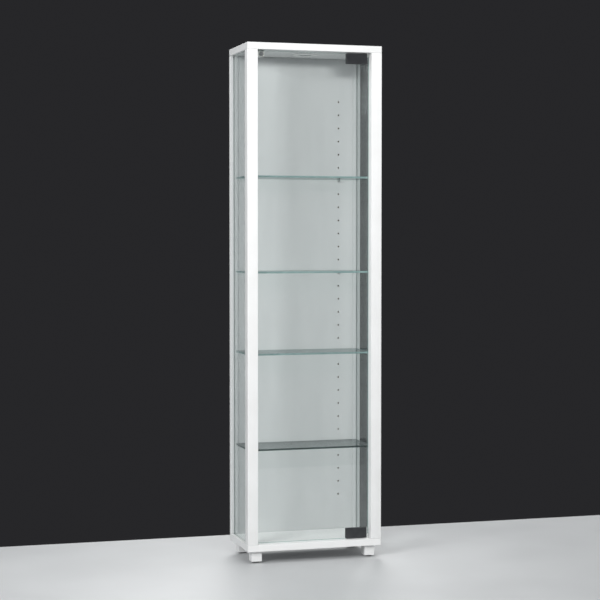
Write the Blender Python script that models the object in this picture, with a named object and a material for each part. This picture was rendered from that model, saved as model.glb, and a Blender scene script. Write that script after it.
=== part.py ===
"""Tall glazed display cabinet with a pivoting glass door, glass shelves on pins and a ceiling lamp.

Units are metres. +X is to the right seen from the front, the front faces -Y and +Z is up.
The origin is on the ground, under the middle of the cabinet.
"""

import math

import bmesh
import bpy
from mathutils import Matrix, Vector

# ---------------------------------------------------------------- overall sizes
WIDTH = 0.460
DEPTH = 0.240
HEIGHT = 1.700
LEG_HEIGHT = 0.040
GAP = 0.0003

# ---------------------------------------------------------------- boards, posts and panels
BOARD = 0.022
POST = 0.035
STILE_WIDTH = 0.026
STILE_DEPTH = 0.018
EDGE_ROUND = 0.001
SIDE_GLASS = 0.004
SIDE_GLASS_INSET = 0.010
GROOVE_DEPTH = 0.006
BACK_PANEL = 0.012
BACK_PANEL_SETBACK = 0.003
GLASS_ARRIS = 0.0004

# ---------------------------------------------------------------- shelves, pins and their holes
SHELF_GLASS = 0.006
SHELF_SIDE_CLEARANCE = 0.003
SHELF_END_CLEARANCE = 0.006
SHELF_HOLES = (4, 11, 17, 24)
HOLE_MARGIN = 0.120
HOLE_PITCH = 0.045
HOLE_DEPTH = 0.009
HOLE_SIDES = 8
REAR_PIN_X = 0.152
FRONT_PIN_INSET = 0.010
PIN_RADIUS = 0.0024
PIN_COLLAR_RADIUS = 0.004
PIN_COLLAR = 0.0015
PIN_NOSE_RADIUS = 0.003
PIN_BEARING = 0.007
PIN_SIDES = 12

# ---------------------------------------------------------------- door and its pivot hinges
DOOR_GLASS = 0.005
DOOR_SETBACK = 0.025
DOOR_SIDE_CLEARANCE = 0.0025
DOOR_END_CLEARANCE = 0.002
SWING_CLEARANCE = 0.0017
HINGE_WIDTH = 0.072
HINGE_HEIGHT = 0.034
HINGE_PLATE = 0.004
HINGE_CORNER = 0.002
HINGE_EDGE_INSET = 0.006
PIVOT_INSET = 0.0115
PIVOT_RADIUS = 0.002
PIVOT_IN_PLATE = 0.010
PIVOT_IN_BOARD = 0.008
NOTCH_WIDTH = 0.020
NOTCH_HEIGHT = 0.013
BOSS_PROUD = 0.002
BUSH_RADIUS = 0.0045
BUSH_FLANGE_RADIUS = 0.007
BUSH_FLANGE = 0.001
CLAMP_SCREW_RADIUS = 0.002
CLAMP_HEAD_RADIUS = 0.0038
CLAMP_HEAD = 0.0022
CLAMP_GRIP = 0.002
CLAMP_GLASS_HOLE_RADIUS = 0.004

# ---------------------------------------------------------------- touch latch
LATCH_INSET = 0.0175
LATCH_DROP = 0.012
LATCH_WIDTH = 0.024
LATCH_LENGTH = 0.040
LATCH_BELOW_AXIS = 0.007
LATCH_STANDOFF = 0.006
PLUNGER_RADIUS = 0.004
PLUNGER_IN_BODY = 0.024
PLUNGER_TRAVEL = 0.003
STRIKE_RADIUS = 0.0075
STRIKE = 0.0015

# ---------------------------------------------------------------- legs, their bolts and glides
LEG = 0.035
LEG_SIDE_INSET = 0.017
LEG_END_INSET = 0.018
GLIDE_RADIUS = 0.013
GLIDE = 0.004
GLIDE_STEM = 0.008
BOLT_RADIUS = 0.0025
BOLT_HEAD_RADIUS = 0.005
BOLT_HEAD = 0.003
BOLT_RECESS = 0.014
BOLT_IN_BOARD = 0.015

# ---------------------------------------------------------------- ceiling lamp
LAMP_RADIUS = 0.040
LAMP_MOUTH_RADIUS = 0.0255
LAMP_BEZEL = 0.004
HOUSING_RADIUS = 0.030
HOUSING_HEIGHT = 0.0137
HOUSING_WALL = 0.0015
LED_BOARD = 0.0016
LED_BOARD_RADIUS = 0.0272
LENS = 0.0025
CHANNEL_RADIUS = 0.0035
CHANNEL_RISE = 0.009
GROMMET_BORE = 0.0022
GROMMET_LENGTH = 0.012
GROMMET_FLANGE_RADIUS = 0.0065
GROMMET_FLANGE = 0.0015

# ---------------------------------------------------------------- places worked out from the sizes
OVERCUT = 0.002
ROUND_SIDES = 32
SMALL_SIDES = 12
HALF_WIDTH = WIDTH / 2
HALF_DEPTH = DEPTH / 2
FLOOR = LEG_HEIGHT + BOARD
CEILING = HEIGHT - BOARD
POST_INNER = HALF_WIDTH - POST
POST_REAR = POST - HALF_DEPTH
STILE_INNER = HALF_WIDTH - STILE_WIDTH
STILE_FRONT = HALF_DEPTH - STILE_DEPTH
GLASS_OUTER = HALF_WIDTH - SIDE_GLASS_INSET
GLASS_INNER = GLASS_OUTER - SIDE_GLASS
PANEL_FRONT = STILE_FRONT + BACK_PANEL_SETBACK
PANEL_REAR = PANEL_FRONT + BACK_PANEL
DOOR_EDGE = POST_INNER - DOOR_SIDE_CLEARANCE
DOOR_FRONT = DOOR_SETBACK - HALF_DEPTH
DOOR_REAR = DOOR_FRONT + DOOR_GLASS
DOOR_BOTTOM = FLOOR + DOOR_END_CLEARANCE
DOOR_TOP = CEILING - DOOR_END_CLEARANCE
PIVOT_X = DOOR_EDGE - PIVOT_INSET
PIVOT_Y = (DOOR_FRONT + DOOR_REAR) / 2
SWING_RADIUS = math.hypot(PIVOT_INSET, DOOR_GLASS / 2)
SHELF_EDGE = GLASS_INNER - SHELF_SIDE_CLEARANCE
SHELF_FRONT = max(PIVOT_Y + SWING_RADIUS + SWING_CLEARANCE, POST_REAR + SHELF_END_CLEARANCE)
SHELF_REAR = PANEL_FRONT - SHELF_END_CLEARANCE
FRONT_PIN_X = POST_INNER + FRONT_PIN_INSET
FIRST_HOLE = FLOOR + HOLE_MARGIN
HOLE_COUNT = int((CEILING - HOLE_MARGIN - FIRST_HOLE) / HOLE_PITCH) + 1
HINGE_RIGHT = DOOR_EDGE - HINGE_EDGE_INSET
HINGE_LEFT = HINGE_RIGHT - HINGE_WIDTH
LATCH_X = LATCH_INSET - DOOR_EDGE
LATCH_Z = CEILING - LATCH_DROP
LATCH_FRONT = DOOR_REAR + LATCH_STANDOFF
STRIKE_REAR = DOOR_REAR + GAP + STRIKE
LEG_BOTTOM = GLIDE + GAP
CHANNEL_Z = CEILING + CHANNEL_RISE
SIDES = (("left", -1), ("right", 1))
ENDS = (("front", -1), ("rear", 1))


# ---------------------------------------------------------------- modelling helpers
def clear_scene():
    """Remove everything that the scene holds."""
    for old in list(bpy.data.objects):
        bpy.data.objects.remove(old, do_unlink=True)


def finish(name, colour, roughness, metallic=0.0, transmission=0.0):
    """A plain surface finish."""
    made = bpy.data.materials.new(name)
    made.use_nodes = True
    shader = made.node_tree.nodes["Principled BSDF"]
    shader.inputs["Base Color"].default_value = (*colour, 1.0)
    shader.inputs["Roughness"].default_value = roughness
    shader.inputs["Metallic"].default_value = metallic
    shader.inputs["Transmission Weight"].default_value = transmission
    return made


def block(low, high):
    """A rectangular shape between two corners."""
    def add(bm):
        centre = (Vector(low) + Vector(high)) / 2
        size = Vector(high) - Vector(low)
        place = Matrix.Translation(centre) @ Matrix.Diagonal((*size, 1.0))
        bmesh.ops.create_cube(bm, size=1.0, matrix=place)
    return add


def rod(start, end, radius, sides=SMALL_SIDES):
    """A straight round shape from one point to another."""
    def add(bm):
        run = Vector(end) - Vector(start)
        turn = run.to_track_quat("Z", "Y").to_matrix().to_4x4()
        place = Matrix.Translation((Vector(start) + Vector(end)) / 2) @ turn
        bmesh.ops.create_cone(bm, cap_ends=True, segments=sides, radius1=radius, radius2=radius,
                              depth=run.length, matrix=place)
    return add


def turned(profile, base, direction, closed=False, sides=SMALL_SIDES):
    """A round shape turned from (radius, height) points, its height running from base along direction."""
    def add(bm):
        turn = Vector(direction).to_track_quat("Z", "Y").to_matrix().to_4x4()
        place = Matrix.Translation(Vector(base)) @ turn
        points = [bm.verts.new(place @ Vector((radius, 0.0, height))) for radius, height in profile]
        pairs = list(zip(points, points[1:]))
        if closed:
            pairs.append((points[-1], points[0]))
        edges = [bm.edges.new(pair) for pair in pairs]
        bmesh.ops.spin(bm, geom=points + edges, cent=Vector(base), axis=Vector(direction),
                       angle=math.tau, steps=sides, use_merge=True, use_duplicate=False)
        bmesh.ops.remove_doubles(bm, verts=bm.verts[:], dist=1e-6)
        bmesh.ops.dissolve_degenerate(bm, dist=1e-7, edges=bm.edges[:])
    return add


def mesh_object(name, shapes, origin, parent=None):
    """One object made of the given shapes, which are drawn in the cabinet's own frame."""
    bm = bmesh.new()
    for add in shapes:
        add(bm)
    bmesh.ops.translate(bm, verts=bm.verts[:], vec=-Vector(origin))
    bmesh.ops.recalc_face_normals(bm, faces=bm.faces[:])
    mesh = bpy.data.meshes.new(name)
    bm.to_mesh(mesh)
    bm.free()
    made = bpy.data.objects.new(name, mesh)
    bpy.context.scene.collection.objects.link(made)
    made.location = origin
    if parent:
        made.parent = parent
        made.location = Vector(origin) - parent.location
    return made


def round_edges(piece, width, segments=2):
    """Soften the sharp edges of a piece."""
    bevel = piece.modifiers.new("rounded_edges", "BEVEL")
    bevel.width = width
    bevel.segments = segments
    bevel.limit_method = "ANGLE"
    bevel.harden_normals = False


def cut(piece, feature, shapes):
    """Cut shapes out of a piece with a hidden cutter."""
    cutter = mesh_object(f"cutter_{piece.name}_{feature}", shapes, (0.0, 0.0, 0.0))
    cutter.hide_render = True
    cutter.display_type = "WIRE"
    boolean = piece.modifiers.new(feature, "BOOLEAN")
    boolean.operation = "DIFFERENCE"
    boolean.solver = "EXACT"
    boolean.object = cutter


def panel(name, material, low, high, rounding, parent=None):
    """A flat board, bar or pane between two corners, with softened edges."""
    origin = parent.location if parent else (Vector(low) + Vector(high)) / 2
    piece = mesh_object(name, [block(low, high)], origin, parent)
    piece.data.materials.append(material)
    round_edges(piece, rounding)
    return piece


def round_piece(name, material, shapes, origin, parent=None):
    """A turned piece, shaded smooth with crisp rims."""
    piece = mesh_object(name, shapes, origin, parent)
    piece.data.materials.append(material)
    piece.data.shade_smooth()
    piece.data.set_sharp_from_angle(angle=math.radians(35))
    return piece


def spans(side, inner, outer):
    """The low and high value of a stretch that lies on one side of the middle."""
    return sorted((side * inner, side * outer))


# ---------------------------------------------------------------- carcass
def side_glass_slot(side, low_y, high_y, low_z, high_z):
    """The groove that holds the edge of a side pane."""
    low_x, high_x = spans(side, GLASS_INNER - GAP, GLASS_OUTER + GAP)
    return block((low_x, low_y, low_z), (high_x, high_y, high_z))


def board_slots(low_z, high_z):
    """The two grooves in a board for the ends of the side panes."""
    return [side_glass_slot(side, POST_REAR - GROOVE_DEPTH, STILE_FRONT + GROOVE_DEPTH, low_z, high_z)
            for _, side in SIDES]


def pin_holes(x, face, direction):
    """One column of blind shelf pin holes, drilled from a face along Y."""
    holes = []
    for index in range(HOLE_COUNT):
        z = FIRST_HOLE + index * HOLE_PITCH
        start = (x, face - direction * OVERCUT, z)
        holes.append(rod(start, (x, face + direction * HOLE_DEPTH, z), PIN_RADIUS + GAP, HOLE_SIDES))
    return holes


def make_bottom_board(white):
    low = (-HALF_WIDTH, -HALF_DEPTH, LEG_HEIGHT)
    piece = panel("bottom_board", white, low, (HALF_WIDTH, HALF_DEPTH, FLOOR), EDGE_ROUND)
    cut(piece, "glass_grooves", board_slots(FLOOR - GROOVE_DEPTH, FLOOR + OVERCUT))
    seat = (PIVOT_X, PIVOT_Y, FLOOR - PIVOT_IN_BOARD - OVERCUT)
    cut(piece, "bush_seat", [rod(seat, (PIVOT_X, PIVOT_Y, FLOOR + OVERCUT), BUSH_RADIUS + GAP)])
    pilots = []
    for x, y in leg_centres().values():
        top = LEG_HEIGHT + BOLT_IN_BOARD + GAP
        pilots.append(rod((x, y, LEG_HEIGHT - OVERCUT), (x, y, top), BOLT_RADIUS + GAP))
    cut(piece, "leg_bolt_holes", pilots)


def make_top_board(white):
    low = (-HALF_WIDTH, -HALF_DEPTH, CEILING)
    piece = panel("top_board", white, low, (HALF_WIDTH, HALF_DEPTH, HEIGHT), EDGE_ROUND)
    cut(piece, "glass_grooves", board_slots(CEILING - OVERCUT, CEILING + GROOVE_DEPTH))
    seat = (PIVOT_X, PIVOT_Y, CEILING + PIVOT_IN_BOARD + OVERCUT)
    cut(piece, "bush_seat", [rod((PIVOT_X, PIVOT_Y, CEILING - OVERCUT), seat, BUSH_RADIUS + GAP)])
    recess_top = (0.0, 0.0, CEILING + HOUSING_HEIGHT + GAP)
    cut(piece, "lamp_recess", [rod((0.0, 0.0, CEILING - OVERCUT), recess_top,
                                   HOUSING_RADIUS + GAP, ROUND_SIDES)])
    rear = HALF_DEPTH + OVERCUT
    cut(piece, "cable_channel", [rod((0.0, HOUSING_RADIUS - OVERCUT, CHANNEL_Z),
                                     (0.0, rear, CHANNEL_Z), CHANNEL_RADIUS)])
    cut(piece, "grommet_seat", [rod((0.0, HALF_DEPTH - GROMMET_FLANGE - GAP, CHANNEL_Z),
                                    (0.0, rear, CHANNEL_Z), GROMMET_FLANGE_RADIUS + GAP)])


def make_front_post(label, side, white):
    low_x, high_x = spans(side, POST_INNER, HALF_WIDTH)
    piece = panel(f"front_post_{label}", white, (low_x, -HALF_DEPTH, FLOOR + GAP),
                  (high_x, POST_REAR, CEILING - GAP), EDGE_ROUND)
    cut(piece, "glass_groove", [side_glass_slot(side, POST_REAR - GROOVE_DEPTH, POST_REAR + OVERCUT,
                                                FLOOR - OVERCUT, CEILING + OVERCUT)])
    cut(piece, "pin_holes", pin_holes(side * FRONT_PIN_X, POST_REAR, -1))


def make_rear_stile(label, side, white):
    low_x, high_x = spans(side, STILE_INNER, HALF_WIDTH)
    piece = panel(f"rear_stile_{label}", white, (low_x, STILE_FRONT, FLOOR + GAP),
                  (high_x, HALF_DEPTH, CEILING - GAP), EDGE_ROUND)
    cut(piece, "glass_groove", [side_glass_slot(side, STILE_FRONT - OVERCUT, STILE_FRONT + GROOVE_DEPTH,
                                                FLOOR - OVERCUT, CEILING + OVERCUT)])
    low_x, high_x = spans(side, STILE_INNER - OVERCUT, STILE_INNER + GROOVE_DEPTH + GAP)
    cut(piece, "panel_groove", [block((low_x, PANEL_FRONT - GAP, FLOOR - OVERCUT),
                                      (high_x, PANEL_REAR + GAP, CEILING + OVERCUT))])


def make_back_panel(grey_white):
    edge = STILE_INNER + GROOVE_DEPTH
    piece = panel("back_panel", grey_white, (-edge, PANEL_FRONT, FLOOR + GAP),
                  (edge, PANEL_REAR, CEILING - GAP), GLASS_ARRIS)
    for label, side in SIDES:
        cut(piece, f"pin_holes_{label}", pin_holes(side * REAR_PIN_X, PANEL_FRONT, 1))


def make_side_glass(label, side, glass):
    low_x, high_x = spans(side, GLASS_INNER, GLASS_OUTER)
    reach = GROOVE_DEPTH - GAP
    panel(f"side_glass_{label}", glass, (low_x, POST_REAR - reach, FLOOR - reach),
          (high_x, STILE_FRONT + reach, CEILING + reach), GLASS_ARRIS)


# ---------------------------------------------------------------- shelves
def make_shelf_pin(name, x, face, direction, shelf_edge, z, metal):
    """A pin whose stem sits in a hole and whose nose, along direction, carries the glass."""
    nose = abs(shelf_edge - face) + PIN_BEARING
    profile = [(0.0, GAP - HOLE_DEPTH), (PIN_RADIUS, GAP - HOLE_DEPTH), (PIN_RADIUS, GAP),
               (PIN_COLLAR_RADIUS, GAP), (PIN_COLLAR_RADIUS, PIN_COLLAR), (PIN_NOSE_RADIUS, PIN_COLLAR),
               (PIN_NOSE_RADIUS, nose - GAP), (PIN_NOSE_RADIUS - GAP, nose), (0.0, nose)]
    base = (x, face, z)
    shape = turned(profile, base, (0.0, direction, 0.0), sides=PIN_SIDES)
    round_piece(name, metal, [shape], base)


def make_shelf(number, hole, glass, metal):
    """A pane on four pins: two in the back panel and two in the front posts."""
    pin_z = FIRST_HOLE + hole * HOLE_PITCH
    under = pin_z + PIN_NOSE_RADIUS + GAP
    panel(f"glass_shelf_{number}", glass, (-SHELF_EDGE, SHELF_FRONT, under),
          (SHELF_EDGE, SHELF_REAR, under + SHELF_GLASS), GLASS_ARRIS)
    for label, side in SIDES:
        make_shelf_pin(f"shelf_pin_{number}_front_{label}", side * FRONT_PIN_X, POST_REAR, 1,
                       SHELF_FRONT, pin_z, metal)
        make_shelf_pin(f"shelf_pin_{number}_rear_{label}", side * REAR_PIN_X, PANEL_FRONT, -1,
                       SHELF_REAR, pin_z, metal)


# ---------------------------------------------------------------- door
def clamp_screw_place(edge, up):
    """Where the clamp screw of the hinge at one edge of the door runs through, as X and Z."""
    return (HINGE_LEFT + HINGE_RIGHT) / 2 - NOTCH_WIDTH / 2, edge - up * HINGE_HEIGHT / 2


def make_door_glass(hinges, glass, door):
    """The frameless pane, notched at its hinge corners and drilled for the clamp screws."""
    piece = panel("door_glass", glass, (-DOOR_EDGE, DOOR_FRONT, DOOR_BOTTOM),
                  (DOOR_EDGE, DOOR_REAR, DOOR_TOP), GLASS_ARRIS, door)
    notches = []
    holes = []
    for _, edge, _, up in hinges:
        low_z, high_z = sorted((edge - up * NOTCH_HEIGHT, edge + up * OVERCUT))
        notches.append(block((DOOR_EDGE - NOTCH_WIDTH, DOOR_FRONT - OVERCUT, low_z),
                             (DOOR_EDGE + OVERCUT, DOOR_REAR + OVERCUT, high_z)))
        x, z = clamp_screw_place(edge, up)
        holes.append(rod((x, DOOR_FRONT - OVERCUT, z), (x, DOOR_REAR + OVERCUT, z),
                         CLAMP_GLASS_HOLE_RADIUS))
    cut(piece, "hinge_notches", notches)
    cut(piece, "clamp_holes", holes)


def hinge_plate(name, low_y, high_y, edge, up, metal, door, extra=()):
    """A flat clamp plate with rounded corners, and any extra shapes joined to it."""
    low_z, high_z = sorted((edge - up * HINGE_HEIGHT, edge))
    piece = mesh_object(name, [block((HINGE_LEFT, low_y, low_z), (HINGE_RIGHT, high_y, high_z))],
                        door.location, door)
    piece.data.materials.append(metal)
    bm = bmesh.new()
    bm.from_mesh(piece.data)
    across = [e for e in bm.edges if abs(e.verts[0].co.y - e.verts[1].co.y) > HINGE_PLATE / 2]
    bmesh.ops.bevel(bm, geom=across, offset=HINGE_CORNER, segments=3, profile=0.5, affect="EDGES")
    bm.to_mesh(piece.data)
    bm.free()
    for label, shape in extra:
        addition = mesh_object(f"cutter_{name}_{label}", [shape], (0.0, 0.0, 0.0))
        addition.hide_render = True
        addition.display_type = "WIRE"
        union = piece.modifiers.new(label, "BOOLEAN")
        union.operation = "UNION"
        union.solver = "EXACT"
        union.object = addition
    return piece


def make_hinge(label, edge, board_face, up, metal, steel, nylon, door):
    """One pivot hinge: up is 1 at the top of the door and -1 at its foot."""
    front_low = DOOR_FRONT - GAP - HINGE_PLATE
    rear_low = DOOR_REAR + GAP
    boss_low = edge - up * (NOTCH_HEIGHT - GAP)
    boss_z = sorted((boss_low, edge))
    boss_left = DOOR_EDGE - NOTCH_WIDTH + GAP
    boss_front = DOOR_FRONT - BOSS_PROUD
    screw_x, screw_z = clamp_screw_place(edge, up)

    front = hinge_plate(f"hinge_front_plate_{label}", front_low, DOOR_FRONT - GAP, edge, up, metal, door)
    pocket_z = sorted((boss_low - up * GAP, edge + up * OVERCUT))
    cut(front, "boss_pocket", [block((boss_left - GAP, boss_front - GAP, pocket_z[0]),
                                     (HINGE_RIGHT + OVERCUT, DOOR_FRONT, pocket_z[1]))])
    cut(front, "screw_hole", [rod((screw_x, DOOR_FRONT - GAP - CLAMP_GRIP - GAP, screw_z),
                                  (screw_x, DOOR_FRONT, screw_z), CLAMP_SCREW_RADIUS + GAP)])

    boss = block((boss_left, boss_front, boss_z[0]), (HINGE_RIGHT - GAP, rear_low + OVERCUT, boss_z[1]))
    rear = hinge_plate(f"hinge_rear_plate_{label}", rear_low, rear_low + HINGE_PLATE, edge, up, metal,
                       door, [("pivot_boss", boss)])
    cut(rear, "pin_hole", [rod((PIVOT_X, PIVOT_Y, edge - up * (PIVOT_IN_PLATE + GAP)),
                               (PIVOT_X, PIVOT_Y, edge + up * OVERCUT), PIVOT_RADIUS + GAP)])
    sink = [(0.0, -OVERCUT), (CLAMP_HEAD_RADIUS + GAP, -OVERCUT), (CLAMP_HEAD_RADIUS + GAP, 0.0),
            (CLAMP_SCREW_RADIUS + GAP, CLAMP_HEAD), (CLAMP_SCREW_RADIUS + GAP, HINGE_PLATE + OVERCUT),
            (0.0, HINGE_PLATE + OVERCUT)]
    plate_rear = (screw_x, rear_low + HINGE_PLATE, screw_z)
    cut(rear, "screw_sink", [turned(sink, plate_rear, (0.0, -1.0, 0.0))])

    length = plate_rear[1] - (DOOR_FRONT - GAP - CLAMP_GRIP)
    screw = [(0.0, GAP), (CLAMP_HEAD_RADIUS, GAP), (CLAMP_SCREW_RADIUS, CLAMP_HEAD + GAP),
             (CLAMP_SCREW_RADIUS, length), (0.0, length)]
    round_piece(f"hinge_clamp_screw_{label}", steel, [turned(screw, plate_rear, (0.0, -1.0, 0.0))],
                door.location, door)

    pin_foot = edge - up * PIVOT_IN_PLATE
    pin_length = PIVOT_IN_PLATE + abs(board_face - edge) + PIVOT_IN_BOARD
    pin = [(0.0, 0.0), (PIVOT_RADIUS, 0.0), (PIVOT_RADIUS, pin_length - GAP),
           (PIVOT_RADIUS - GAP, pin_length), (0.0, pin_length)]
    round_piece(f"pivot_pin_{label}", steel,
                [turned(pin, (PIVOT_X, PIVOT_Y, pin_foot), (0.0, 0.0, up))], door.location, door)

    bore = PIVOT_RADIUS + GAP
    bush = [(bore, -BUSH_FLANGE), (BUSH_FLANGE_RADIUS, -BUSH_FLANGE), (BUSH_FLANGE_RADIUS, -GAP),
            (BUSH_RADIUS, -GAP), (BUSH_RADIUS, PIVOT_IN_BOARD + GAP), (bore, PIVOT_IN_BOARD + GAP)]
    seat = (PIVOT_X, PIVOT_Y, board_face)
    round_piece(f"pivot_bush_{label}", nylon, [turned(bush, seat, (0.0, 0.0, up), closed=True)], seat)


def make_door(glass, metal, steel, nylon):
    """The door and everything that swings with it, hung on an empty at the pivot axis."""
    door = bpy.data.objects.new("door_pivot", None)
    bpy.context.scene.collection.objects.link(door)
    door.location = (PIVOT_X, PIVOT_Y, 0.0)
    hinges = [("bottom", DOOR_BOTTOM, FLOOR, -1), ("top", DOOR_TOP, CEILING, 1)]
    make_door_glass(hinges, glass, door)
    for label, edge, board_face, up in hinges:
        make_hinge(label, edge, board_face, up, metal, steel, nylon, door)
    strike = [(0.0, 0.0), (STRIKE_RADIUS, 0.0), (STRIKE_RADIUS, STRIKE - GAP),
              (STRIKE_RADIUS - GAP, STRIKE), (0.0, STRIKE)]
    base = (LATCH_X, DOOR_REAR + GAP, LATCH_Z)
    round_piece("latch_strike", steel, [turned(strike, base, (0.0, 1.0, 0.0), sides=ROUND_SIDES)],
                door.location, door)


# ---------------------------------------------------------------- touch latch
def make_latch(plastic, steel):
    low = (LATCH_X - LATCH_WIDTH / 2, LATCH_FRONT, LATCH_Z - LATCH_BELOW_AXIS)
    high = (LATCH_X + LATCH_WIDTH / 2, LATCH_FRONT + LATCH_LENGTH, CEILING - GAP)
    body = panel("latch_body", plastic, low, high, EDGE_ROUND)
    bore_end = LATCH_FRONT + PLUNGER_IN_BODY + PLUNGER_TRAVEL + GAP
    cut(body, "plunger_bore", [rod((LATCH_X, LATCH_FRONT - OVERCUT, LATCH_Z),
                                   (LATCH_X, bore_end, LATCH_Z), PLUNGER_RADIUS + GAP)])
    tip = STRIKE_REAR + GAP
    length = LATCH_FRONT + PLUNGER_IN_BODY - tip
    profile = [(0.0, 0.0), (PLUNGER_RADIUS - GAP, 0.0), (PLUNGER_RADIUS, GAP),
               (PLUNGER_RADIUS, length), (0.0, length)]
    base = (LATCH_X, tip, LATCH_Z)
    round_piece("latch_plunger", steel, [turned(profile, base, (0.0, 1.0, 0.0))], base)


# ---------------------------------------------------------------- legs
def leg_centres():
    """The middle of each leg, by its place under the cabinet."""
    x = HALF_WIDTH - LEG_SIDE_INSET - LEG / 2
    y = HALF_DEPTH - LEG_END_INSET - LEG / 2
    return {f"{end}_{label}": (side * x, toward * y)
            for end, toward in ENDS for label, side in SIDES}


def make_leg(place, x, y, white, steel, felt):
    """A square leg, the bolt that holds it to the bottom board and the glide under it."""
    leg = panel(f"leg_{place}", white, (x - LEG / 2, y - LEG / 2, LEG_BOTTOM),
                (x + LEG / 2, y + LEG / 2, LEG_HEIGHT - GAP), EDGE_ROUND)
    recess = LEG_BOTTOM + BOLT_RECESS
    cut(leg, "bolt_recess", [rod((x, y, LEG_BOTTOM - OVERCUT), (x, y, recess), BOLT_HEAD_RADIUS + GAP)])
    cut(leg, "bolt_hole", [rod((x, y, recess - OVERCUT), (x, y, LEG_HEIGHT + OVERCUT),
                               BOLT_RADIUS + GAP)])
    under_head = recess - GAP - BOLT_HEAD
    length = LEG_HEIGHT + BOLT_IN_BOARD - under_head
    bolt = [(0.0, 0.0), (BOLT_HEAD_RADIUS, 0.0), (BOLT_HEAD_RADIUS, BOLT_HEAD),
            (BOLT_RADIUS, BOLT_HEAD), (BOLT_RADIUS, length), (0.0, length)]
    round_piece(f"leg_bolt_{place}", steel, [turned(bolt, (x, y, under_head), (0.0, 0.0, 1.0))],
                (x, y, under_head))
    glide = [(0.0, 0.0), (GLIDE_RADIUS - EDGE_ROUND, 0.0), (GLIDE_RADIUS, EDGE_ROUND),
             (GLIDE_RADIUS, GLIDE), (BOLT_HEAD_RADIUS, GLIDE), (BOLT_HEAD_RADIUS, GLIDE + GLIDE_STEM),
             (0.0, GLIDE + GLIDE_STEM)]
    round_piece(f"glide_{place}", felt, [turned(glide, (x, y, 0.0), (0.0, 0.0, 1.0), sides=24)],
                (x, y, 0.0))


# ---------------------------------------------------------------- ceiling lamp
def make_lamp(metal, plastic, frosted, board):
    """A round lamp let into the top board, with the outlet of its lead at the rear edge."""
    centre = (0.0, 0.0, CEILING)
    up = (0.0, 0.0, 1.0)
    inner = HOUSING_RADIUS - HOUSING_WALL
    roof = HOUSING_HEIGHT - HOUSING_WALL
    cup = [(0.0, roof), (inner, roof), (inner, 0.0), (HOUSING_RADIUS, 0.0),
           (HOUSING_RADIUS, HOUSING_HEIGHT), (0.0, HOUSING_HEIGHT)]
    housing = round_piece("lamp_housing", plastic, [turned(cup, centre, up, sides=ROUND_SIDES)], centre)
    cut(housing, "lead_hole", [rod((0.0, inner - OVERCUT, CHANNEL_Z),
                                   (0.0, HOUSING_RADIUS + OVERCUT, CHANNEL_Z), GROMMET_BORE)])
    led = [(0.0, roof - GAP - LED_BOARD), (LED_BOARD_RADIUS, roof - GAP - LED_BOARD),
           (LED_BOARD_RADIUS, roof - GAP), (0.0, roof - GAP)]
    round_piece("lamp_led_board", board, [turned(led, centre, up, sides=24)], centre)
    lens = [(0.0, GAP), (inner - GAP, GAP), (inner - GAP, LENS), (0.0, LENS)]
    round_piece("lamp_lens", frosted, [turned(lens, centre, up, sides=ROUND_SIDES)], centre)
    bezel = [(LAMP_MOUTH_RADIUS, -GAP), (LAMP_MOUTH_RADIUS, EDGE_ROUND - LAMP_BEZEL),
             (LAMP_MOUTH_RADIUS + EDGE_ROUND, -LAMP_BEZEL), (LAMP_RADIUS - 2 * EDGE_ROUND, -LAMP_BEZEL),
             (LAMP_RADIUS, EDGE_ROUND - LAMP_BEZEL), (LAMP_RADIUS, -GAP)]
    round_piece("lamp_bezel", metal, [turned(bezel, centre, up, closed=True, sides=ROUND_SIDES)], centre)
    outlet = (0.0, HALF_DEPTH, CHANNEL_Z)
    sleeve = CHANNEL_RADIUS - GAP
    grommet = [(GROMMET_BORE, 0.0), (GROMMET_FLANGE_RADIUS, 0.0), (GROMMET_FLANGE_RADIUS, GROMMET_FLANGE),
               (sleeve, GROMMET_FLANGE), (sleeve, GROMMET_LENGTH), (GROMMET_BORE, GROMMET_LENGTH)]
    round_piece("cable_grommet", plastic, [turned(grommet, outlet, (0.0, -1.0, 0.0), closed=True)], outlet)


def main():
    clear_scene()
    white = finish("white_foil", (0.86, 0.86, 0.85), 0.45)
    grey_white = finish("light_grey_panel", (0.66, 0.67, 0.67), 0.55)
    clear_glass = finish("clear_glass", (0.90, 0.97, 0.95), 0.02, transmission=1.0)
    dark_metal = finish("dark_grey_hinge", (0.10, 0.10, 0.11), 0.40, metallic=0.6)
    steel = finish("bright_steel", (0.62, 0.62, 0.63), 0.25, metallic=1.0)
    nylon = finish("white_nylon", (0.80, 0.80, 0.78), 0.50)
    dark_plastic = finish("black_plastic", (0.03, 0.03, 0.03), 0.50)
    frosted = finish("frosted_lens", (0.85, 0.85, 0.82), 0.60)
    green_board = finish("green_circuit_board", (0.05, 0.22, 0.10), 0.45)

    make_bottom_board(white)
    make_top_board(white)
    make_back_panel(grey_white)
    for label, side in SIDES:
        make_front_post(label, side, white)
        make_rear_stile(label, side, white)
        make_side_glass(label, side, clear_glass)
    for number, hole in enumerate(SHELF_HOLES, start=1):
        make_shelf(number, hole, clear_glass, steel)
    make_door(clear_glass, dark_metal, steel, nylon)
    make_latch(nylon, steel)
    for place, (x, y) in leg_centres().items():
        make_leg(place, x, y, white, steel, dark_plastic)
    make_lamp(steel, dark_plastic, frosted, green_board)


main()
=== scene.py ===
# %% [markdown]
# # A tall glass cabinet for a collection
# The cabinet is two white boards, two white front posts, two rear stiles and a pale back panel, with
# glass on three sides. A frameless glass door hangs on two small clamp hinges and closes on a push latch.
# The mechanical model already gives every part its size and place, so this lesson adds what the eye needs:
# glass that looks like glass, finely turned pins and lamp parts, and a finish with detail for each surface.

# %% Load the frame
import math

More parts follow.
